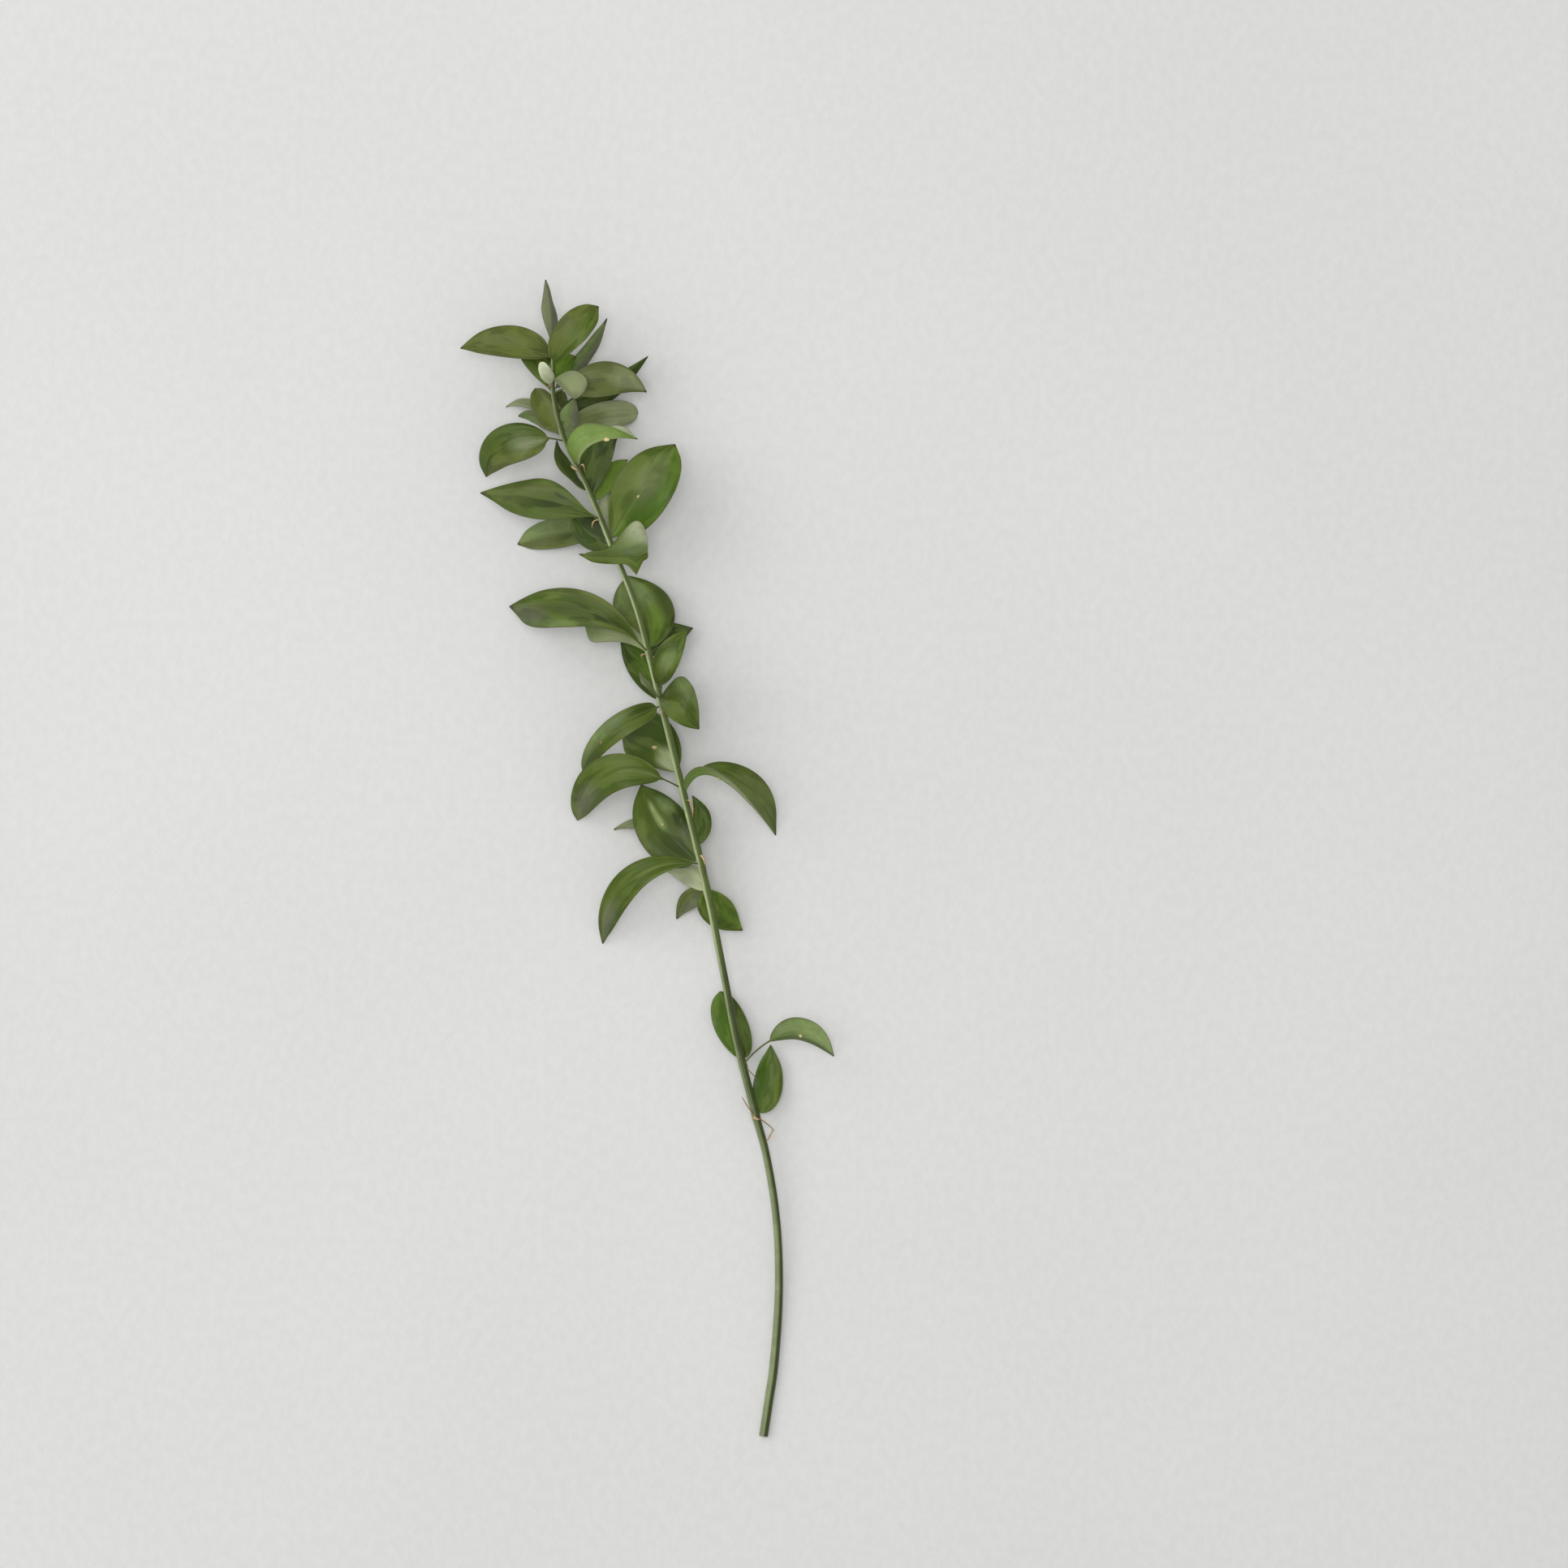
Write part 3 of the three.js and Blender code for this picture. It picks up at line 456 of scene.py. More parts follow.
def shape_copy(blank, name, points, materials, **attributes):
    """Copies a blank with its points moved, and keeps what its materials read."""
    piece = blank.copy()
    piece.data = blank.data.copy()
    piece.name = piece.data.name = name
    bpy.context.collection.objects.link(piece)
    place_points(piece, points)
    for key, values in attributes.items():
        keep_attribute(piece, key, values)
    for material in materials:
        piece.data.materials.append(material)
    return piece


# The centre lines of the stem and leaves.

def smooth_line(points, count):
    """Points along a smooth curve through the given ones, closer together where they are."""
    points = [Vector(point) for point in points]
    padded = [points[0] * 2 - points[1], *points, points[-1] * 2 - points[-2]]
    line = []
    for step in range(count + 1):
        place = (len(points) - 1) * step / count
        first = min(int(place), len(points) - 2)
        share = place - first
        before, start, end, after = padded[first:first + 4]
        gaps = [math.sqrt((b - a).length) for a, b in ((before, start), (start, end), (end, after))]
        leave = ((start - before) / gaps[0] - (end - before) / (gaps[0] + gaps[1])
                 + (end - start) / gaps[1]) * gaps[1]
        arrive = ((end - start) / gaps[1] - (after - start) / (gaps[1] + gaps[2])
                  + (after - end) / gaps[2]) * gaps[1]
        cube = start * 2 - end * 2 + leave + arrive
        square = end * 3 - start * 3 - leave * 2 - arrive
        line.append(start + leave * share + square * share ** 2 + cube * share ** 3)
    return line


STEM_LINE = smooth_line([point[:3] for point in STEM_POINTS], 900)


def stem_index(height):
    return next(index for index, point in enumerate(STEM_LINE) if point.y >= height)


def stem_radius(height):
    heights = [point[1] for point in STEM_POINTS]
    return float(np.interp(height, heights, [point[3] for point in STEM_POINTS]))


def stem_direction(height):
    index = max(1, stem_index(height))
    return (STEM_LINE[index] - STEM_LINE[index - 1]).normalized()


def curve_through(start, middle, end):
    """The start, bend and end of a curve through three places. A start may be a height."""
    if not isinstance(start, tuple):
        start = STEM_LINE[stem_index(start)]
    start, middle, end = (np.array(point, dtype=float) for point in (start, middle, end))
    return start, middle * 2 - (start + end) / 2, end


def on_curve(curve, share):
    start, bend, end = curve
    return start * (1 - share) ** 2 + bend * (2 * share * (1 - share)) + end * share ** 2


def unit(vectors):
    return vectors / np.maximum(np.linalg.norm(vectors, axis=-1, keepdims=True), 1e-12)


def smoothstep(low, high, value):
    share = np.clip((value - low) / (high - low), 0, 1)
    return share * share * (3 - 2 * share)


def reach(place, widest, fullness):
    """The share of a half blade's full reach at places along it, from base (0) to end (1)."""
    rise = fullness * widest / (1 - widest)
    inside = np.clip(place, 0, 1)
    shape = inside ** rise * (1 - inside) ** fullness
    return shape / (widest ** rise * (1 - widest) ** fullness)


def drawn_out(share, stalk, blade_end, widest, fullness):
    """Reach along a half blade. Where a line from the spine's end touches it, it runs straight."""
    place = (share - stalk) / (blade_end - stalk)
    if fullness > HOLLOW:   # a broad corner, then a narrow strip to the end
        return np.maximum(reach(place, widest, fullness), HOLLOW_STRIP * reach(place, widest, 0.4))
    rise = fullness * widest / (1 - widest)
    spine_end = (1 - stalk) / (blade_end - stalk)
    places = np.linspace(widest, 0.999, 300)
    falls = fullness / (1 - places) - rise / places
    turn = places[np.argmax(falls >= 1 / (spine_end - places))]
    straight = reach(turn, widest, fullness) * (spine_end - place) / (spine_end - turn)
    return np.where(place > turn, np.maximum(straight, 0), reach(place, widest, fullness))


def half_blades(leaf, share, blade_end, ahead):
    """Of the left and right half of a blade: where it reaches to, and its reach at shares along."""
    leftward = np.tile(leaf.over, (len(share), 1)) if leaf.over else ahead[:, [1, 0, 2]] * (-1, 1, 0)
    halves = []
    for side, half in ((1, leaf.left), (-1, leaf.right)):
        usual = (USUAL_WIDEST, 0, leaf.fullness)
        out, rise, widest, slant, fullness = (*half, *usual[len(half) - 2:])
        halves.append((leftward * out * side + np.array((0, 0, rise)) + ahead * slant,
                       drawn_out(share, leaf.stalk, blade_end, widest, fullness)))
    if leaf.corner:
        place, further, half_length = leaf.corner
        bump = np.maximum(1 - np.abs(share - place) / half_length, 0)
        halves[1][1][:] += further * bump ** CORNER_POWER
    return halves


def margin_waves(leaf, across, on_blade, height):
    """Slow waves along a blade, drawn at random, that fade towards its midrib and both ends."""
    drawn = random.Random(leaf.name)
    lift = 0
    for waves in WAVE_COUNTS:
        phase, part = drawn.uniform(0, 6.28), drawn.uniform(0.3, 1)
        lift = lift + (part * height / waves * 2 * np.sin(waves * np.pi * on_blade + phase + across)
                       * across ** 2 * np.sin(np.pi * on_blade) ** WAVE_FADE)
    return lift


def leaf_points(leaf, across, along, settings):
    """Places for the points of a leaf, from where they are across and along it."""
    curve = curve_through(leaf.joins, leaf.middle, leaf.tip)
    length = np.linalg.norm(np.diff(on_curve(curve, np.linspace(0, 1, 201)[:, None]), axis=0),
                            axis=1).sum()
    blade_end = 1 - leaf.spine / length
    on_blade = np.clip((along - STALK_ROWS) / (SPINE_ROWS - STALK_ROWS), 0, 1)
    on_blade += ROWS_GATHERED * ((1 - np.cos(np.pi * on_blade)) / 2 - on_blade)
    share = (leaf.stalk * np.minimum(along / STALK_ROWS, 1) + (blade_end - leaf.stalk) * on_blade
             + (1 - blade_end) * np.maximum(along - SPINE_ROWS, 0) / (1 - SPINE_ROWS))
    column = share[:, None]
    base, bend, tip = curve
    slope = (bend - base) * (1 - column) + (tip - bend) * column
    ahead = unit(slope * (1, 1, 0))
    (left, left_reach), (right, right_reach) = half_blades(leaf, share, blade_end, ahead)
    apart = unit(left - right)
    towards = np.where((across > 0)[:, None], left, right)
    out = np.where(across > 0, left_reach, right_reach) * np.abs(across)
    stalk_half = settings.stalk_half
    narrow = np.interp(along, [0, SPINE_ROWS, 1],
                       [stalk_half, stalk_half * STALK_TAPER, settings.spine_half]) / MM
    points = on_curve(curve, column) + apart * (across * narrow)[:, None] + towards * out[:, None]
    facing = unit(np.cross(unit(slope), apart))
    facing *= np.where(facing[:, 2:] < 0, -1, 1)
    lift = settings.arch * np.linalg.norm(towards, axis=1) * out * np.sin(np.pi * np.abs(across))
    lift += margin_waves(leaf, across, on_blade, settings.wave / MM)
    points += facing * lift[:, None]
    points[:, 2] = np.maximum(points[:, 2], settings.thickness / MM * LOWEST)
    return points, on_blade


def leaf_tones(leaf, across, on_blade, settings):
    """The green of each point of a leaf: its two halves, then any broad patches."""
    left, right = (np.array(getattr(settings, tone)) for tone in (leaf.tones.split() * 2)[:2])
    to_left = smoothstep(-TONE_BLEND, TONE_BLEND, across)[:, None]
    tone = right * (1 - to_left) + left * to_left
    for patch, at_across, at_along, half_width, half_length, strength in PATCHES.get(leaf.name, ()):
        far = np.hypot((across - at_across) / half_width, (on_blade - at_along) / half_length)
        part = (strength * (1 - smoothstep(PATCH_CORE, 1.0, far)))[:, None]
        tone = tone * (1 - part) + np.array(getattr(settings, patch)) * part
    return np.concatenate([tone, np.ones((len(tone), 1))], axis=1)


# Materials. What is passed to these helpers is a number or colour, or another node's socket, and
# a node goes into the tree of the sockets that it reads.

def is_socket(value):
    return isinstance(value, bpy.types.NodeSocket)


def place_node(tree, kind, inputs=None, **settings):
    """Adds a node. An input is given a value, or linked where the value is a socket."""
    node = tree.nodes.new(kind)
    for name, value in settings.items():
        setattr(node, name, value)
    for key, value in (inputs or {}).items():
        if is_socket(value):
            tree.links.new(value, node.inputs[key])
        else:
            node.inputs[key].default_value = value
    return node


def attribute(tree, name, output="Fac"):
    return place_node(tree, "ShaderNodeAttribute", attribute_name=name).outputs[output]


def noise(place, scale, detail, **more):
    return place_node(place.id_data, "ShaderNodeTexNoise", {
        "Vector": place, "Scale": scale, "Detail": detail, **more}).outputs[0]


def object_place(tree):
    return place_node(tree, "ShaderNodeTexCoord").outputs["Object"]


def tree_of(*values):
    """The tree of the first socket among some values."""
    return next(filter(is_socket, values)).id_data


def maths(operation, *values):
    node = place_node(tree_of(*values), "ShaderNodeMath", dict(enumerate(values)),
                      operation=operation)
    return node.outputs[0]


def total(*values):
    """The sum of several values. One of the first two is a socket."""
    return functools.reduce(lambda first, second: maths("ADD", first, second), values)


def spread(value, low, high, to_low=0.0, to_high=1.0):
    """A value carried smoothly from one range to another."""
    node = place_node(value.id_data, "ShaderNodeMapRange", {
        "Value": value, "From Min": low, "From Max": high, "To Min": to_low, "To Max": to_high},
        interpolation_type="SMOOTHSTEP")
    return node.outputs[0]


def mix(share, first, second, kind="MIX"):
    colours = [value if is_socket(value) else (*value, 1.0) for value in (first, second)]
    node = place_node(tree_of(share, first, second), "ShaderNodeMix",
                      dict(zip((0, 6, 7), (share, *colours))), data_type="RGBA", blend_type=kind)
    return node.outputs[2]


def lay_over(colour, *layers):
    """A colour with others laid over it in turn, each given as its share and the colour."""
    for share, layer in layers:
        colour = mix(share, colour, layer)
    return colour


def lit(colour, light):
    """A colour made lighter or darker."""
    grey = place_node(light.id_data, "ShaderNodeCombineColor", dict.fromkeys((0, 1, 2), light))
    return mix(1.0, colour, grey.outputs[0], "MULTIPLY")


def new_group(name, inputs, outputs):
    """A shader node group with named sockets."""
    tree = bpy.data.node_groups.new(name, "ShaderNodeTree")
    for label, kind, value in inputs:
        socket = tree.interface.new_socket(label, in_out="INPUT", socket_type=kind)
        if value is not None:
            socket.default_value = value
    for label in outputs:
        tree.interface.new_socket(label, in_out="OUTPUT", socket_type="NodeSocketFloat")
    return tree, tree.nodes.new("NodeGroupInput").outputs, tree.nodes.new("NodeGroupOutput").inputs


def build_veins(name):
    """Fine lines that run the length of a leaf or stem."""
    tree, given, out = new_group(
        name, [("Place", "NodeSocketVector", None), ("Count", "NodeSocketFloat", 8.0),
               ("Drift", "NodeSocketFloat", 2.0), ("Waver", "NodeSocketFloat", 0.0)],
        ["Streak", "Line"])

    def lines(times, detail):
        count = maths("MULTIPLY", given["Count"], times)
        scale = place_node(tree, "ShaderNodeCombineXYZ", {0: count, 1: given["Drift"], 2: count})
        place = place_node(tree, "ShaderNodeVectorMath",
                           {0: given["Place"], 1: scale.outputs[0]}, operation="MULTIPLY")
        return noise(place.outputs[0], 1.0, detail, Distortion=given["Waver"])

    tree.links.new(spread(lines(1.0, 2.0), 0.28, 0.72), out["Streak"])
    tree.links.new(spread(lines(3.2, 1.0), 0.35, 0.65), out["Line"])


def build_mottle(name):
    """Soft uneven patches and a fine grain."""
    tree, given, out = new_group(
        name, [("Patches per metre", "NodeSocketFloat", 60.0)], ["Patch", "Grain"])
    place = object_place(tree)
    count = given["Patches per metre"]
    patch = noise(place, count, 3.0, Distortion=0.6)
    grain = noise(place, maths("MULTIPLY", count, 18.0), 2.0)
    tree.links.new(spread(patch, 0.3, 0.7), out["Patch"])
    tree.links.new(grain, out["Grain"])


GROUPS = {"Lengthwise veins": build_veins, "Soft mottle": build_mottle}


def group_node(tree, name, inputs):
    """The outputs of a node group with a material's own values. It is built once."""
    if name not in bpy.data.node_groups:
        GROUPS[name](name)
    return place_node(tree, "ShaderNodeGroup", inputs, node_tree=bpy.data.node_groups[name]).outputs


def vein_lines(place, count, drift, waver=0.0):
    """Broad streaks and fine lines."""
    return group_node(place.id_data, "Lengthwise veins", {
        "Place": place, "Count": count, "Drift": drift, "Waver": waver})


def mottling(tree, patches_per_metre):
    """Patches and grain."""
    return group_node(tree, "Soft mottle", {"Patches per metre": patches_per_metre})


def new_material(name):
    material = bpy.data.materials.new(name)
    material.use_nodes = True
    return material, material.node_tree


def finish_material(material, colour, roughness, height, relief, depth=0.0002, specular=0.5):
    """Joins a finished colour, roughness and height to the material's shader."""
    tree = material.node_tree
    shader = tree.nodes["Principled BSDF"]
    bump = place_node(tree, "ShaderNodeBump", {
        "Height": height, "Strength": relief, "Distance": depth})
    tree.links.new(colour, shader.inputs["Base Color"])
    tree.links.new(roughness, shader.inputs["Roughness"])
    tree.links.new(bump.outputs[0], shader.inputs["Normal"])
    shader.inputs["Specular IOR Level"].default_value = specular
    return material


def leaf_material(name, settings, gloss, veins_show):
    """Skin of a leaf in its given greens, with broad streaks of painted sheen. gloss is its roughness."""
    material, tree = new_material(name)
    place = attribute(tree, "leaf_place", "Vector")
    parts = place_node(tree, "ShaderNodeSeparateXYZ", {0: place}).outputs
    out_from_rib = maths("ABSOLUTE", parts[0])
    along = parts[1]
    streak, line = vein_lines(place, 4.0, 1.6)
    patch, _ = mottling(tree, 70.0)
    # Broad streaks of painted sheen: some parts painted greyer and lighter as if catching the light, some
    # deeper.
    broad = spread(vein_lines(place, 1.5, 2.8, 0.7)["Streak"], 0.25, 0.75)
    painted_sheen = spread(broad, 0.4, 1, 0, 0.3)
    skin = mix(painted_sheen, attribute(tree, "leaf_tone", "Color"), settings.grey)
    skin = lit(skin, total(
        spread(streak, 0, 1, 1 - veins_show, 1 + veins_show), spread(patch, 0, 1, -0.1, 0.1),
        spread(broad, 0, 1, -0.16, 0.12), spread(line, 0, 1, -veins_show / 3, veins_show / 3)))
    # Pale lines run together towards the stalk.
    gathered = maths("MULTIPLY", spread(along, 0.08, 0.5, 1, 0), spread(streak, 0.5, 1, 0, 0.2))
    rib = maths("MULTIPLY", spread(out_from_rib, 0, 0.05, 1, 0), spread(along, 0.05, 0.6, 0.3, 0.03))
    stalk = spread(along, 0.06, 0.1, 0.45, 0)
    edge = spread(out_from_rib, 0.93, 0.985, 0, 0.55)
    point = spread(along, 0.93, 0.98, 0, 0.85)
    skin = lay_over(skin, (stalk, settings.shade), (gathered, settings.midrib),
                    (rib, settings.midrib), (edge, settings.margin), (point, settings.spine))
    height = total(maths("MULTIPLY", line, 0.5), maths("MULTIPLY", streak, 0.6),
                   maths("MULTIPLY", patch, 0.8))
    rough = total(gloss, spread(patch, 0, 1, -0.05, 0.07))
    return finish_material(material, skin, rough, height, 0.16, 0.0004, specular=0.22)


def stem_material(settings):
    material, tree = new_material("stem skin")
    place = attribute(tree, "skin_place", "Vector")
    parts = place_node(tree, "ShaderNodeSeparateXYZ", {0: place}).outputs
    streak, line = vein_lines(place, 1.5, 1.0)
    patch, _ = mottling(tree, 110.0)
    # Painted light and shade: one side is painted paler as if lit and the other deeper green as if shaded,
    # with a wandering border.
    side = total(parts[0], spread(streak, 0, 1, -0.35, 0.35))
    skin = mix(spread(side, -0.4, 0.4), settings.skin, settings.painted_shade_and_fibre)
    skin = mix(spread(side, -0.7, 0.1, 0.95, 0), skin, settings.painted_lit_skin)
    # Darker in its lower half and at the growing tip. parts[1] runs up to SKIN_LENGTH.
    light = maths("MULTIPLY", spread(parts[1], 1.6, 2.0, 0.6, 1.0),
                  spread(parts[1], 3.3, 3.6, 1.0, 0.75))
    light = maths("MULTIPLY", light, spread(patch, 0, 1, 0.9, 1.1))
    rough = spread(patch, 0, 1, 0.36, 0.5)
    return finish_material(material, lit(skin, light), rough, line, 0.2, specular=0.3)


def cut_material(settings):
    """The cut end: pale pith dotted with darker fibres, greener towards the skin."""
    material, tree = new_material("cut end")
    dots = place_node(tree, "ShaderNodeTexVoronoi", {"Vector": object_place(tree), "Scale": 1700.0})
    fibre = spread(dots.outputs["Distance"], 0.12, 0.3, 0.6, 0)
    outer = spread(attribute(tree, "from_middle"), 0.55, 1.0)
    flesh = mix(outer, settings.pith, settings.skin)
    flesh = mix(fibre, flesh, settings.painted_shade_and_fibre)
    return finish_material(material, flesh, spread(fibre, 0, 1, 0.55, 0.75), fibre, 0.4)


def dry_material(settings):
    """Thin papery scale, darker at its base and rims."""
    material, tree = new_material("dry scale")
    patch, grain = mottling(tree, 500.0)
    dark = total(spread(attribute(tree, "along"), 0, 0.25, 0.5, 0),
                 spread(attribute(tree, "rim"), 0.5, 1, 0, 0.8),
                 spread(patch, 0, 1, 0, 0.3), attribute(tree, "brown"))
    paper = mix(maths("MINIMUM", dark, 1.0), settings.dry, settings.dry_dark)
    rough = spread(patch, 0, 1, 0.6, 0.8)
    return finish_material(material, paper, rough, grain, 0.4)


def bud_material(settings):
    material, tree = new_material("flower bud")
    patch, grain = mottling(tree, 400.0)
    ripe = attribute(tree, "ripeness")
    skin = mix(spread(ripe, 0.0, 0.5), settings.bud_green, settings.bud_cream)
    skin = lay_over(
        skin, (spread(attribute(tree, "along"), 0.0, 0.35, 0.7, 0), settings.dry_dark),
        (spread(patch, 0.4, 1, 0, 0.4), settings.dry),
        (spread(ripe, 0.5, 1.0, 0, 0.9), settings.dry_dark))
    rough = spread(patch, 0, 1, 0.45, 0.65)
    return finish_material(material, skin, rough, grain, 0.3)


def table_material(settings):
    """Pale painted surface with a very faint brushed texture."""
    material, tree = new_material("painted table")
    place = object_place(tree)
    stretched = place_node(tree, "ShaderNodeMapping", {"Vector": place, "Scale": (1.0, 0.7, 1.0)})
    brush = noise(stretched.outputs[0], 240.0, 5.0, Roughness=0.6)
    cloud = noise(place, 4.0, 2.0)
    light = total(spread(brush, 0.3, 0.7, 0.97, 1.015),
                  spread(cloud, 0.3, 0.7, -0.012, 0.012))
    paint_coat = lit(settings.table_colour, light)
    rough = spread(brush, 0.3, 0.7, 0.75, 0.9)
    return finish_material(material, paint_coat, rough, brush, 0.2, 0.001, specular=0.2)


# Operators.

class RUSCUS_OT_stem(bpy.types.Operator):
    """Grow the stem with its ribs and swollen joints, and its cut end"""
    bl_idname = "ruscus.stem"
    bl_label = "Stem"
    bl_options = {"REGISTER", "UNDO"}

    def execute(self, context):
        settings = context.scene.ruscus_stem
        stem = add_new("stem", bpy.ops.mesh.primitive_cylinder_add, vertices=STEM_SIDES,
                       radius=1, depth=2, end_fill_type="NOTHING", calc_uvs=False)
        for cuts in (1, STEM_CUTS):
            self.cut_lengthwise_edges(stem, cuts)
        straight = points_of(stem)
        angle = np.arctan2(straight[:, 1], straight[:, 0])
        share = (straight[:, 2] + 1) / 2
        rings, radii = self.rings(share, settings)
        wander, waves = RIB_WANDER
        ribs = np.cos(STEM_RIBS * angle + wander * np.sin(share * waves))
        radius = (radii * (1 + settings.rib_depth * ribs))[:, None]
        points = (rings[:, 0] + rings[:, 1] * np.cos(angle)[:, None] * radius
                  + rings[:, 2] * np.sin(angle)[:, None] * radius)
        points[:, 2] = np.maximum(points[:, 2], 0.0)
        place_points(stem, points)
        keep_attribute(stem, "skin_place", np.stack(
            [np.cos(angle), share * SKIN_LENGTH, np.sin(angle)], axis=1))
        self.close_tip(stem)
        stem.data.materials.append(stem_material(settings))
        finish_piece(stem, 50)
        first = share < 1e-4
        self.cut_end(settings, points[first], angle[first])
        return {"FINISHED"}

    def cut_lengthwise_edges(self, stem, cuts):
        def lengthwise():
            for edge in stem.data.edges:
                low, high = (stem.data.vertices[index].co.z for index in edge.vertices)
                if abs(high - low) > 1e-5:
                    yield edge
        select_parts(stem, "EDGE", lengthwise)
        bpy.ops.mesh.subdivide(number_cuts=cuts)
        bpy.ops.object.mode_set(mode="OBJECT")

    def rings(self, share, settings):
        """Centre, sideways and upward directions, and radius of the stem at shares of its length."""
        joints = {leaf.joins for leaf in LEAVES}
        places, index = np.unique(np.round(share, 6), return_inverse=True)
        first, last = STEM_POINTS[0][1], STEM_POINTS[-1][1]
        line = np.array(STEM_LINE)
        rows, radii = [], []
        for place in places:
            height = first + (last - first) * place
            centre = Vector(np.interp(height, line[:, 1], line[:, axis]) for axis in range(3))
            ahead = stem_direction(min(height, last - 0.01))
            sideways = Vector((ahead.y, -ahead.x, 0)).normalized()
            rows.append((centre, sideways, sideways.cross(ahead)))
            near = max(math.exp(-((height - joint) / JOINT_LENGTH) ** 2) for joint in joints)
            radii.append(stem_radius(height) * (1 + settings.joint_swelling * near))
        return np.array(rows)[index], np.array(radii)[index]

    def close_tip(self, stem):
        """Closes the growing tip with one small face."""
        def tip():
            far = max(vertex.co.y for vertex in stem.data.vertices)
            return [vertex for vertex in stem.data.vertices if vertex.co.y > far - TIP_LENGTH * MM]
        select_parts(stem, "VERT", tip)
        bpy.ops.mesh.edge_face_add()
        bpy.ops.object.mode_set(mode="OBJECT")

    def cut_end(self, settings, ring, angle):
        """The flat cut across the stem, with its rim rounded a little."""
        face = add_new("cut_end", bpy.ops.mesh.primitive_circle_add, vertices=STEM_SIDES,
                       radius=1, fill_type="NGON")
        round_face = points_of(face)
        order = np.argsort(np.argsort(np.arctan2(round_face[:, 1], round_face[:, 0])))
        place_points(face, ring[np.argsort(angle)][order])
        middle = (Vector(STEM_POINTS[0][:3]) + PART_SHIFT) * MM
        outward = -stem_direction(STEM_POINTS[0][1])
        bpy.ops.object.mode_set(mode="EDIT")
        bpy.ops.mesh.select_all(action="SELECT")
        for size, depth in CUT_STEPS:
            bpy.ops.mesh.extrude_region_move()
            bpy.ops.transform.resize(value=(size, size, size), center_override=middle)
            bpy.ops.transform.translate(value=outward * depth * MM)
        bpy.ops.mesh.poke()
        bpy.ops.mesh.select_all(action="SELECT")
        bpy.ops.mesh.normals_make_consistent(inside=False)
        bpy.ops.object.mode_set(mode="OBJECT")
        keep_attribute(face, "from_middle", [
            (vertex.co - middle).length / (STEM_POINTS[0][3] * MM) for vertex in face.data.vertices])
        if sum(polygon.normal.dot(outward) for polygon in face.data.polygons) < 0:
            face.data.flip_normals()
        face.data.materials.append(cut_material(settings))
        finish_piece(face, 50)


class RUSCUS_OT_leaves(bpy.types.Operator):
    """Shape one leaf blank for each leaf of the stem, arch it and give it its greens"""
    bl_idname = "ruscus.leaves"
    bl_label = "Leaves"
    bl_options = {"REGISTER", "UNDO"}

    def execute(self, context):
        settings = context.scene.ruscus_leaf
        upper = leaf_material("leaf upper side", settings, 0.44, 0.04)
        under = leaf_material("leaf underside", settings, 0.58, 0.06)
        blank = add_new("leaf blank", bpy.ops.mesh.primitive_grid_add, x_subdivisions=STRIPS,
                        y_subdivisions=ROWS, size=2, calc_uvs=False)
        flat = points_of(blank)
        across = -np.sign(flat[:, 0]) * np.abs(flat[:, 0]) ** STRIPS_GATHERED
        along = (flat[:, 1] + 1) / 2
        for index, leaf in enumerate(LEAVES):
            points, on_blade = leaf_points(leaf, across, along, settings)
            own = np.full(len(across), index * PATTERN_STEP)
            piece = shape_copy(
                blank, "leaf_" + leaf.name, points,
                (under, upper) if leaf.tones == "sage" else (upper, under),
                leaf_place=np.stack([across, along, own], axis=1),
                leaf_tone=leaf_tones(leaf, across, on_blade, settings))
            if sum(face.normal.z * face.area for face in piece.data.polygons) < 0:
                piece.data.flip_normals()
            apply_solidify(piece, settings.thickness, material_offset=1)
            for vertex in piece.data.vertices:
                vertex.co.z = max(vertex.co.z, 0.0)
            finish_piece(piece)
        remove(blank)
        return {"FINISHED"}


class RUSCUS_OT_dry_scales(bpy.types.Operator):
    """Curl the dry scales away from the leaf joints"""
    bl_idname = "ruscus.dry_scales"
    bl_label = "Dry scales"
    bl_options = {"REGISTER", "UNDO"}

    def execute(self, context):
        settings = context.scene.ruscus_stem
        dry = dry_material(settings)
        blank = add_new("scale blank", bpy.ops.mesh.primitive_grid_add, x_subdivisions=4,
                        y_subdivisions=18, size=2, calc_uvs=False)
        flat = points_of(blank)
        across, along = flat[:, 0], (flat[:, 1] + 1) / 2
        for index, (start, bend, end, size, brown) in enumerate(SCALES, 1):
            curve = curve_through(start, bend, end)
            ahead = unit(curve[2] - curve[0])
            sideways = unit(np.array((-ahead[1], ahead[0], SCALE_TILT)))
            half_width = settings.scale_width / MM / 2 * size * (1 - SCALE_TAPER * along ** 2)
            points = on_curve(curve, along[:, None]) + sideways * (across * half_width)[:, None]
            points[:, 2] += SCALE_CUP * across ** 2
            piece = shape_copy(blank, f"dry_scale_{index:02d}", points, [dry], along=along,
                               rim=np.abs(across), brown=np.full(len(along), brown))
            apply_solidify(piece, SCALE_THICKNESS * MM)
            finish_piece(piece)
        remove(blank)
        return {"FINISHED"}


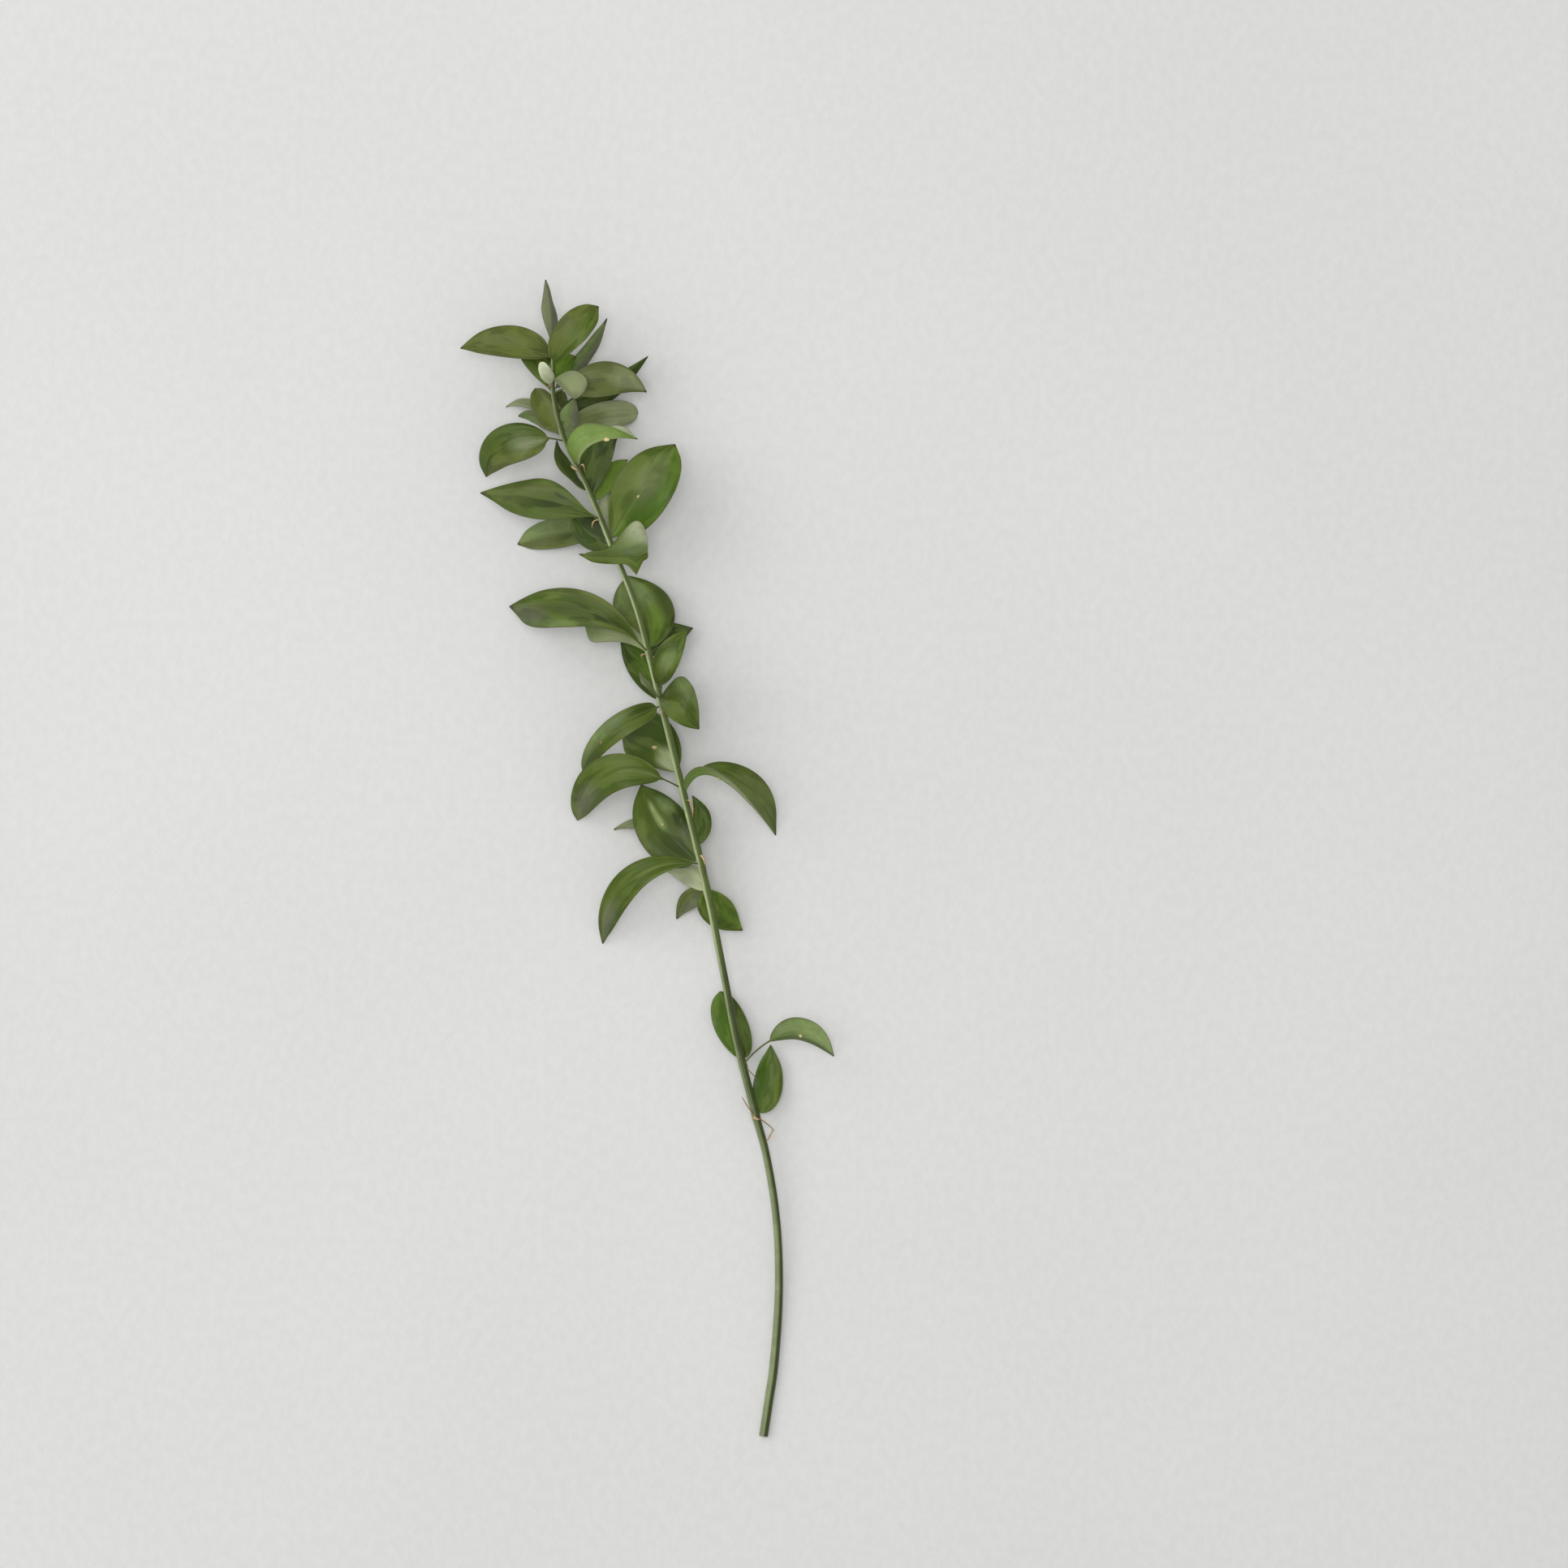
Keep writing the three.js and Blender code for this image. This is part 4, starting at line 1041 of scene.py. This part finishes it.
class RUSCUS_OT_flower_buds(bpy.types.Operator):
    """Set a small bud on the middle of each flowering leaf"""
    bl_idname = "ruscus.flower_buds"
    bl_label = "Flower buds"
    bl_options = {"REGISTER", "UNDO"}

    def execute(self, context):
        settings = context.scene.ruscus_stem
        cream = bud_material(settings)
        blank = add_new("bud blank", bpy.ops.mesh.primitive_uv_sphere_add, segments=16,
                        ring_count=12, radius=1, calc_uvs=False)
        ball = points_of(blank)
        along = (ball[:, 2] + 1) / 2
        lobes = np.cos(3 * np.arctan2(ball[:, 1], ball[:, 0])) * np.sin(np.pi * along)
        girth = (1 + BUD_LOBES * lobes) * (BUD_BASE - BUD_TAPER * along)
        pear = ball * np.stack([girth, girth, np.full(len(girth), BUD_LENGTH)], axis=1)
        leaves = {leaf.name: leaf for leaf in LEAVES}
        for name, place, size, ripeness in BUDS:
            leaf = leaves[name]
            curve = curve_through(leaf.joins, leaf.middle, leaf.tip)
            forward, upward = BUD_LEAN
            axis = unit(unit(curve[2] - curve[1]) * forward + (0, 0, upward))
            turned = pear @ np.array(Vector(axis).to_track_quat("Z", "Y").to_matrix()).T
            radius = settings.bud_radius / MM * size
            points = on_curve(curve, place) + (turned + axis * BUD_LIFT) * radius
            finish_piece(shape_copy(blank, "bud_" + name, points, [cream], along=along,
                                    ripeness=np.full(len(along), ripeness)))
        remove(blank)
        return {"FINISHED"}


class RUSCUS_OT_stage(bpy.types.Operator):
    """Lay the pale table, light it softly and set the camera straight above"""
    bl_idname = "ruscus.stage"
    bl_label = "Table, light and camera"
    bl_options = {"REGISTER", "UNDO"}

    def execute(self, context):
        settings = context.scene.ruscus_stage
        table = add_new("table", bpy.ops.mesh.primitive_plane_add, size=settings.table_size,
                        location=(0, 0, -TABLE_DROP * MM))
        bpy.ops.object.transform_apply(location=True, rotation=True, scale=True)
        table.data.materials.append(table_material(settings))
        self.soft_light("key light", (-1.9, 0.9, 2.3), size=2.6, power=settings.key_power)
        self.soft_light("fill light", (-0.1, 0.2, 3.6), size=1.2, power=settings.fill_power)
        world = bpy.data.worlds.new("room light")
        world.use_nodes = True
        background = world.node_tree.nodes["Background"]
        background.inputs["Color"].default_value = ROOM_WHITE
        background.inputs["Strength"].default_value = settings.sky
        context.scene.world = world
        context.scene.view_settings.view_transform = "Standard"
        camera = add_new(
            "camera above", bpy.ops.object.camera_add, rotation=(0, 0, 0),
            location=(settings.view_x, settings.view_y, settings.view_height))
        camera.data.lens = settings.focal_length
        camera.data.sensor_width = 36.0
        camera.data.clip_end = 50.0
        context.scene.camera = camera
        deselect_all()
        return {"FINISHED"}

    def soft_light(self, name, place, size, power):
        light = add_new(name, bpy.ops.object.light_add, type="AREA", location=place)
        light.rotation_euler = Vector(place).to_track_quat("Z", "Y").to_euler()
        light.data.size = size
        light.data.energy = power


class RUSCUS_PT_sidebar(bpy.types.Panel):
    """Lists the pieces of the ruscus stem with their sizes and colours"""
    bl_idname = "RUSCUS_PT_sidebar"
    bl_label = "Ruscus Stem"
    bl_space_type = "VIEW_3D"
    bl_region_type = "UI"
    bl_category = "Ruscus"

    def draw(self, context):
        for group in SETTINGS:
            box = self.layout.box()
            settings = getattr(context.scene, group)
            for name in settings.__annotations__:
                box.prop(settings, name)
        for operator in OPERATORS:
            self.layout.operator(operator.bl_idname)


SETTINGS = {"ruscus_stem": RuscusStemSettings, "ruscus_leaf": RuscusLeafSettings,
            "ruscus_stage": RuscusStageSettings}
OPERATORS = (RUSCUS_OT_stem, RUSCUS_OT_leaves, RUSCUS_OT_dry_scales, RUSCUS_OT_flower_buds,
             RUSCUS_OT_stage)
CLASSES = (*SETTINGS.values(), *OPERATORS, RUSCUS_PT_sidebar)


def register():
    for item in CLASSES:
        bpy.utils.register_class(item)
    for name, group in SETTINGS.items():
        setattr(bpy.types.Scene, name, bpy.props.PointerProperty(type=group))


def unregister():
    for name in SETTINGS:
        delattr(bpy.types.Scene, name)
    for item in reversed(CLASSES):
        bpy.utils.unregister_class(item)


def main():
    register()
    bpy.ops.ruscus.stem()
    bpy.ops.ruscus.leaves()
    bpy.ops.ruscus.dry_scales()
    bpy.ops.ruscus.flower_buds()
    bpy.ops.ruscus.stage()


if __name__ == "__main__":
    main()
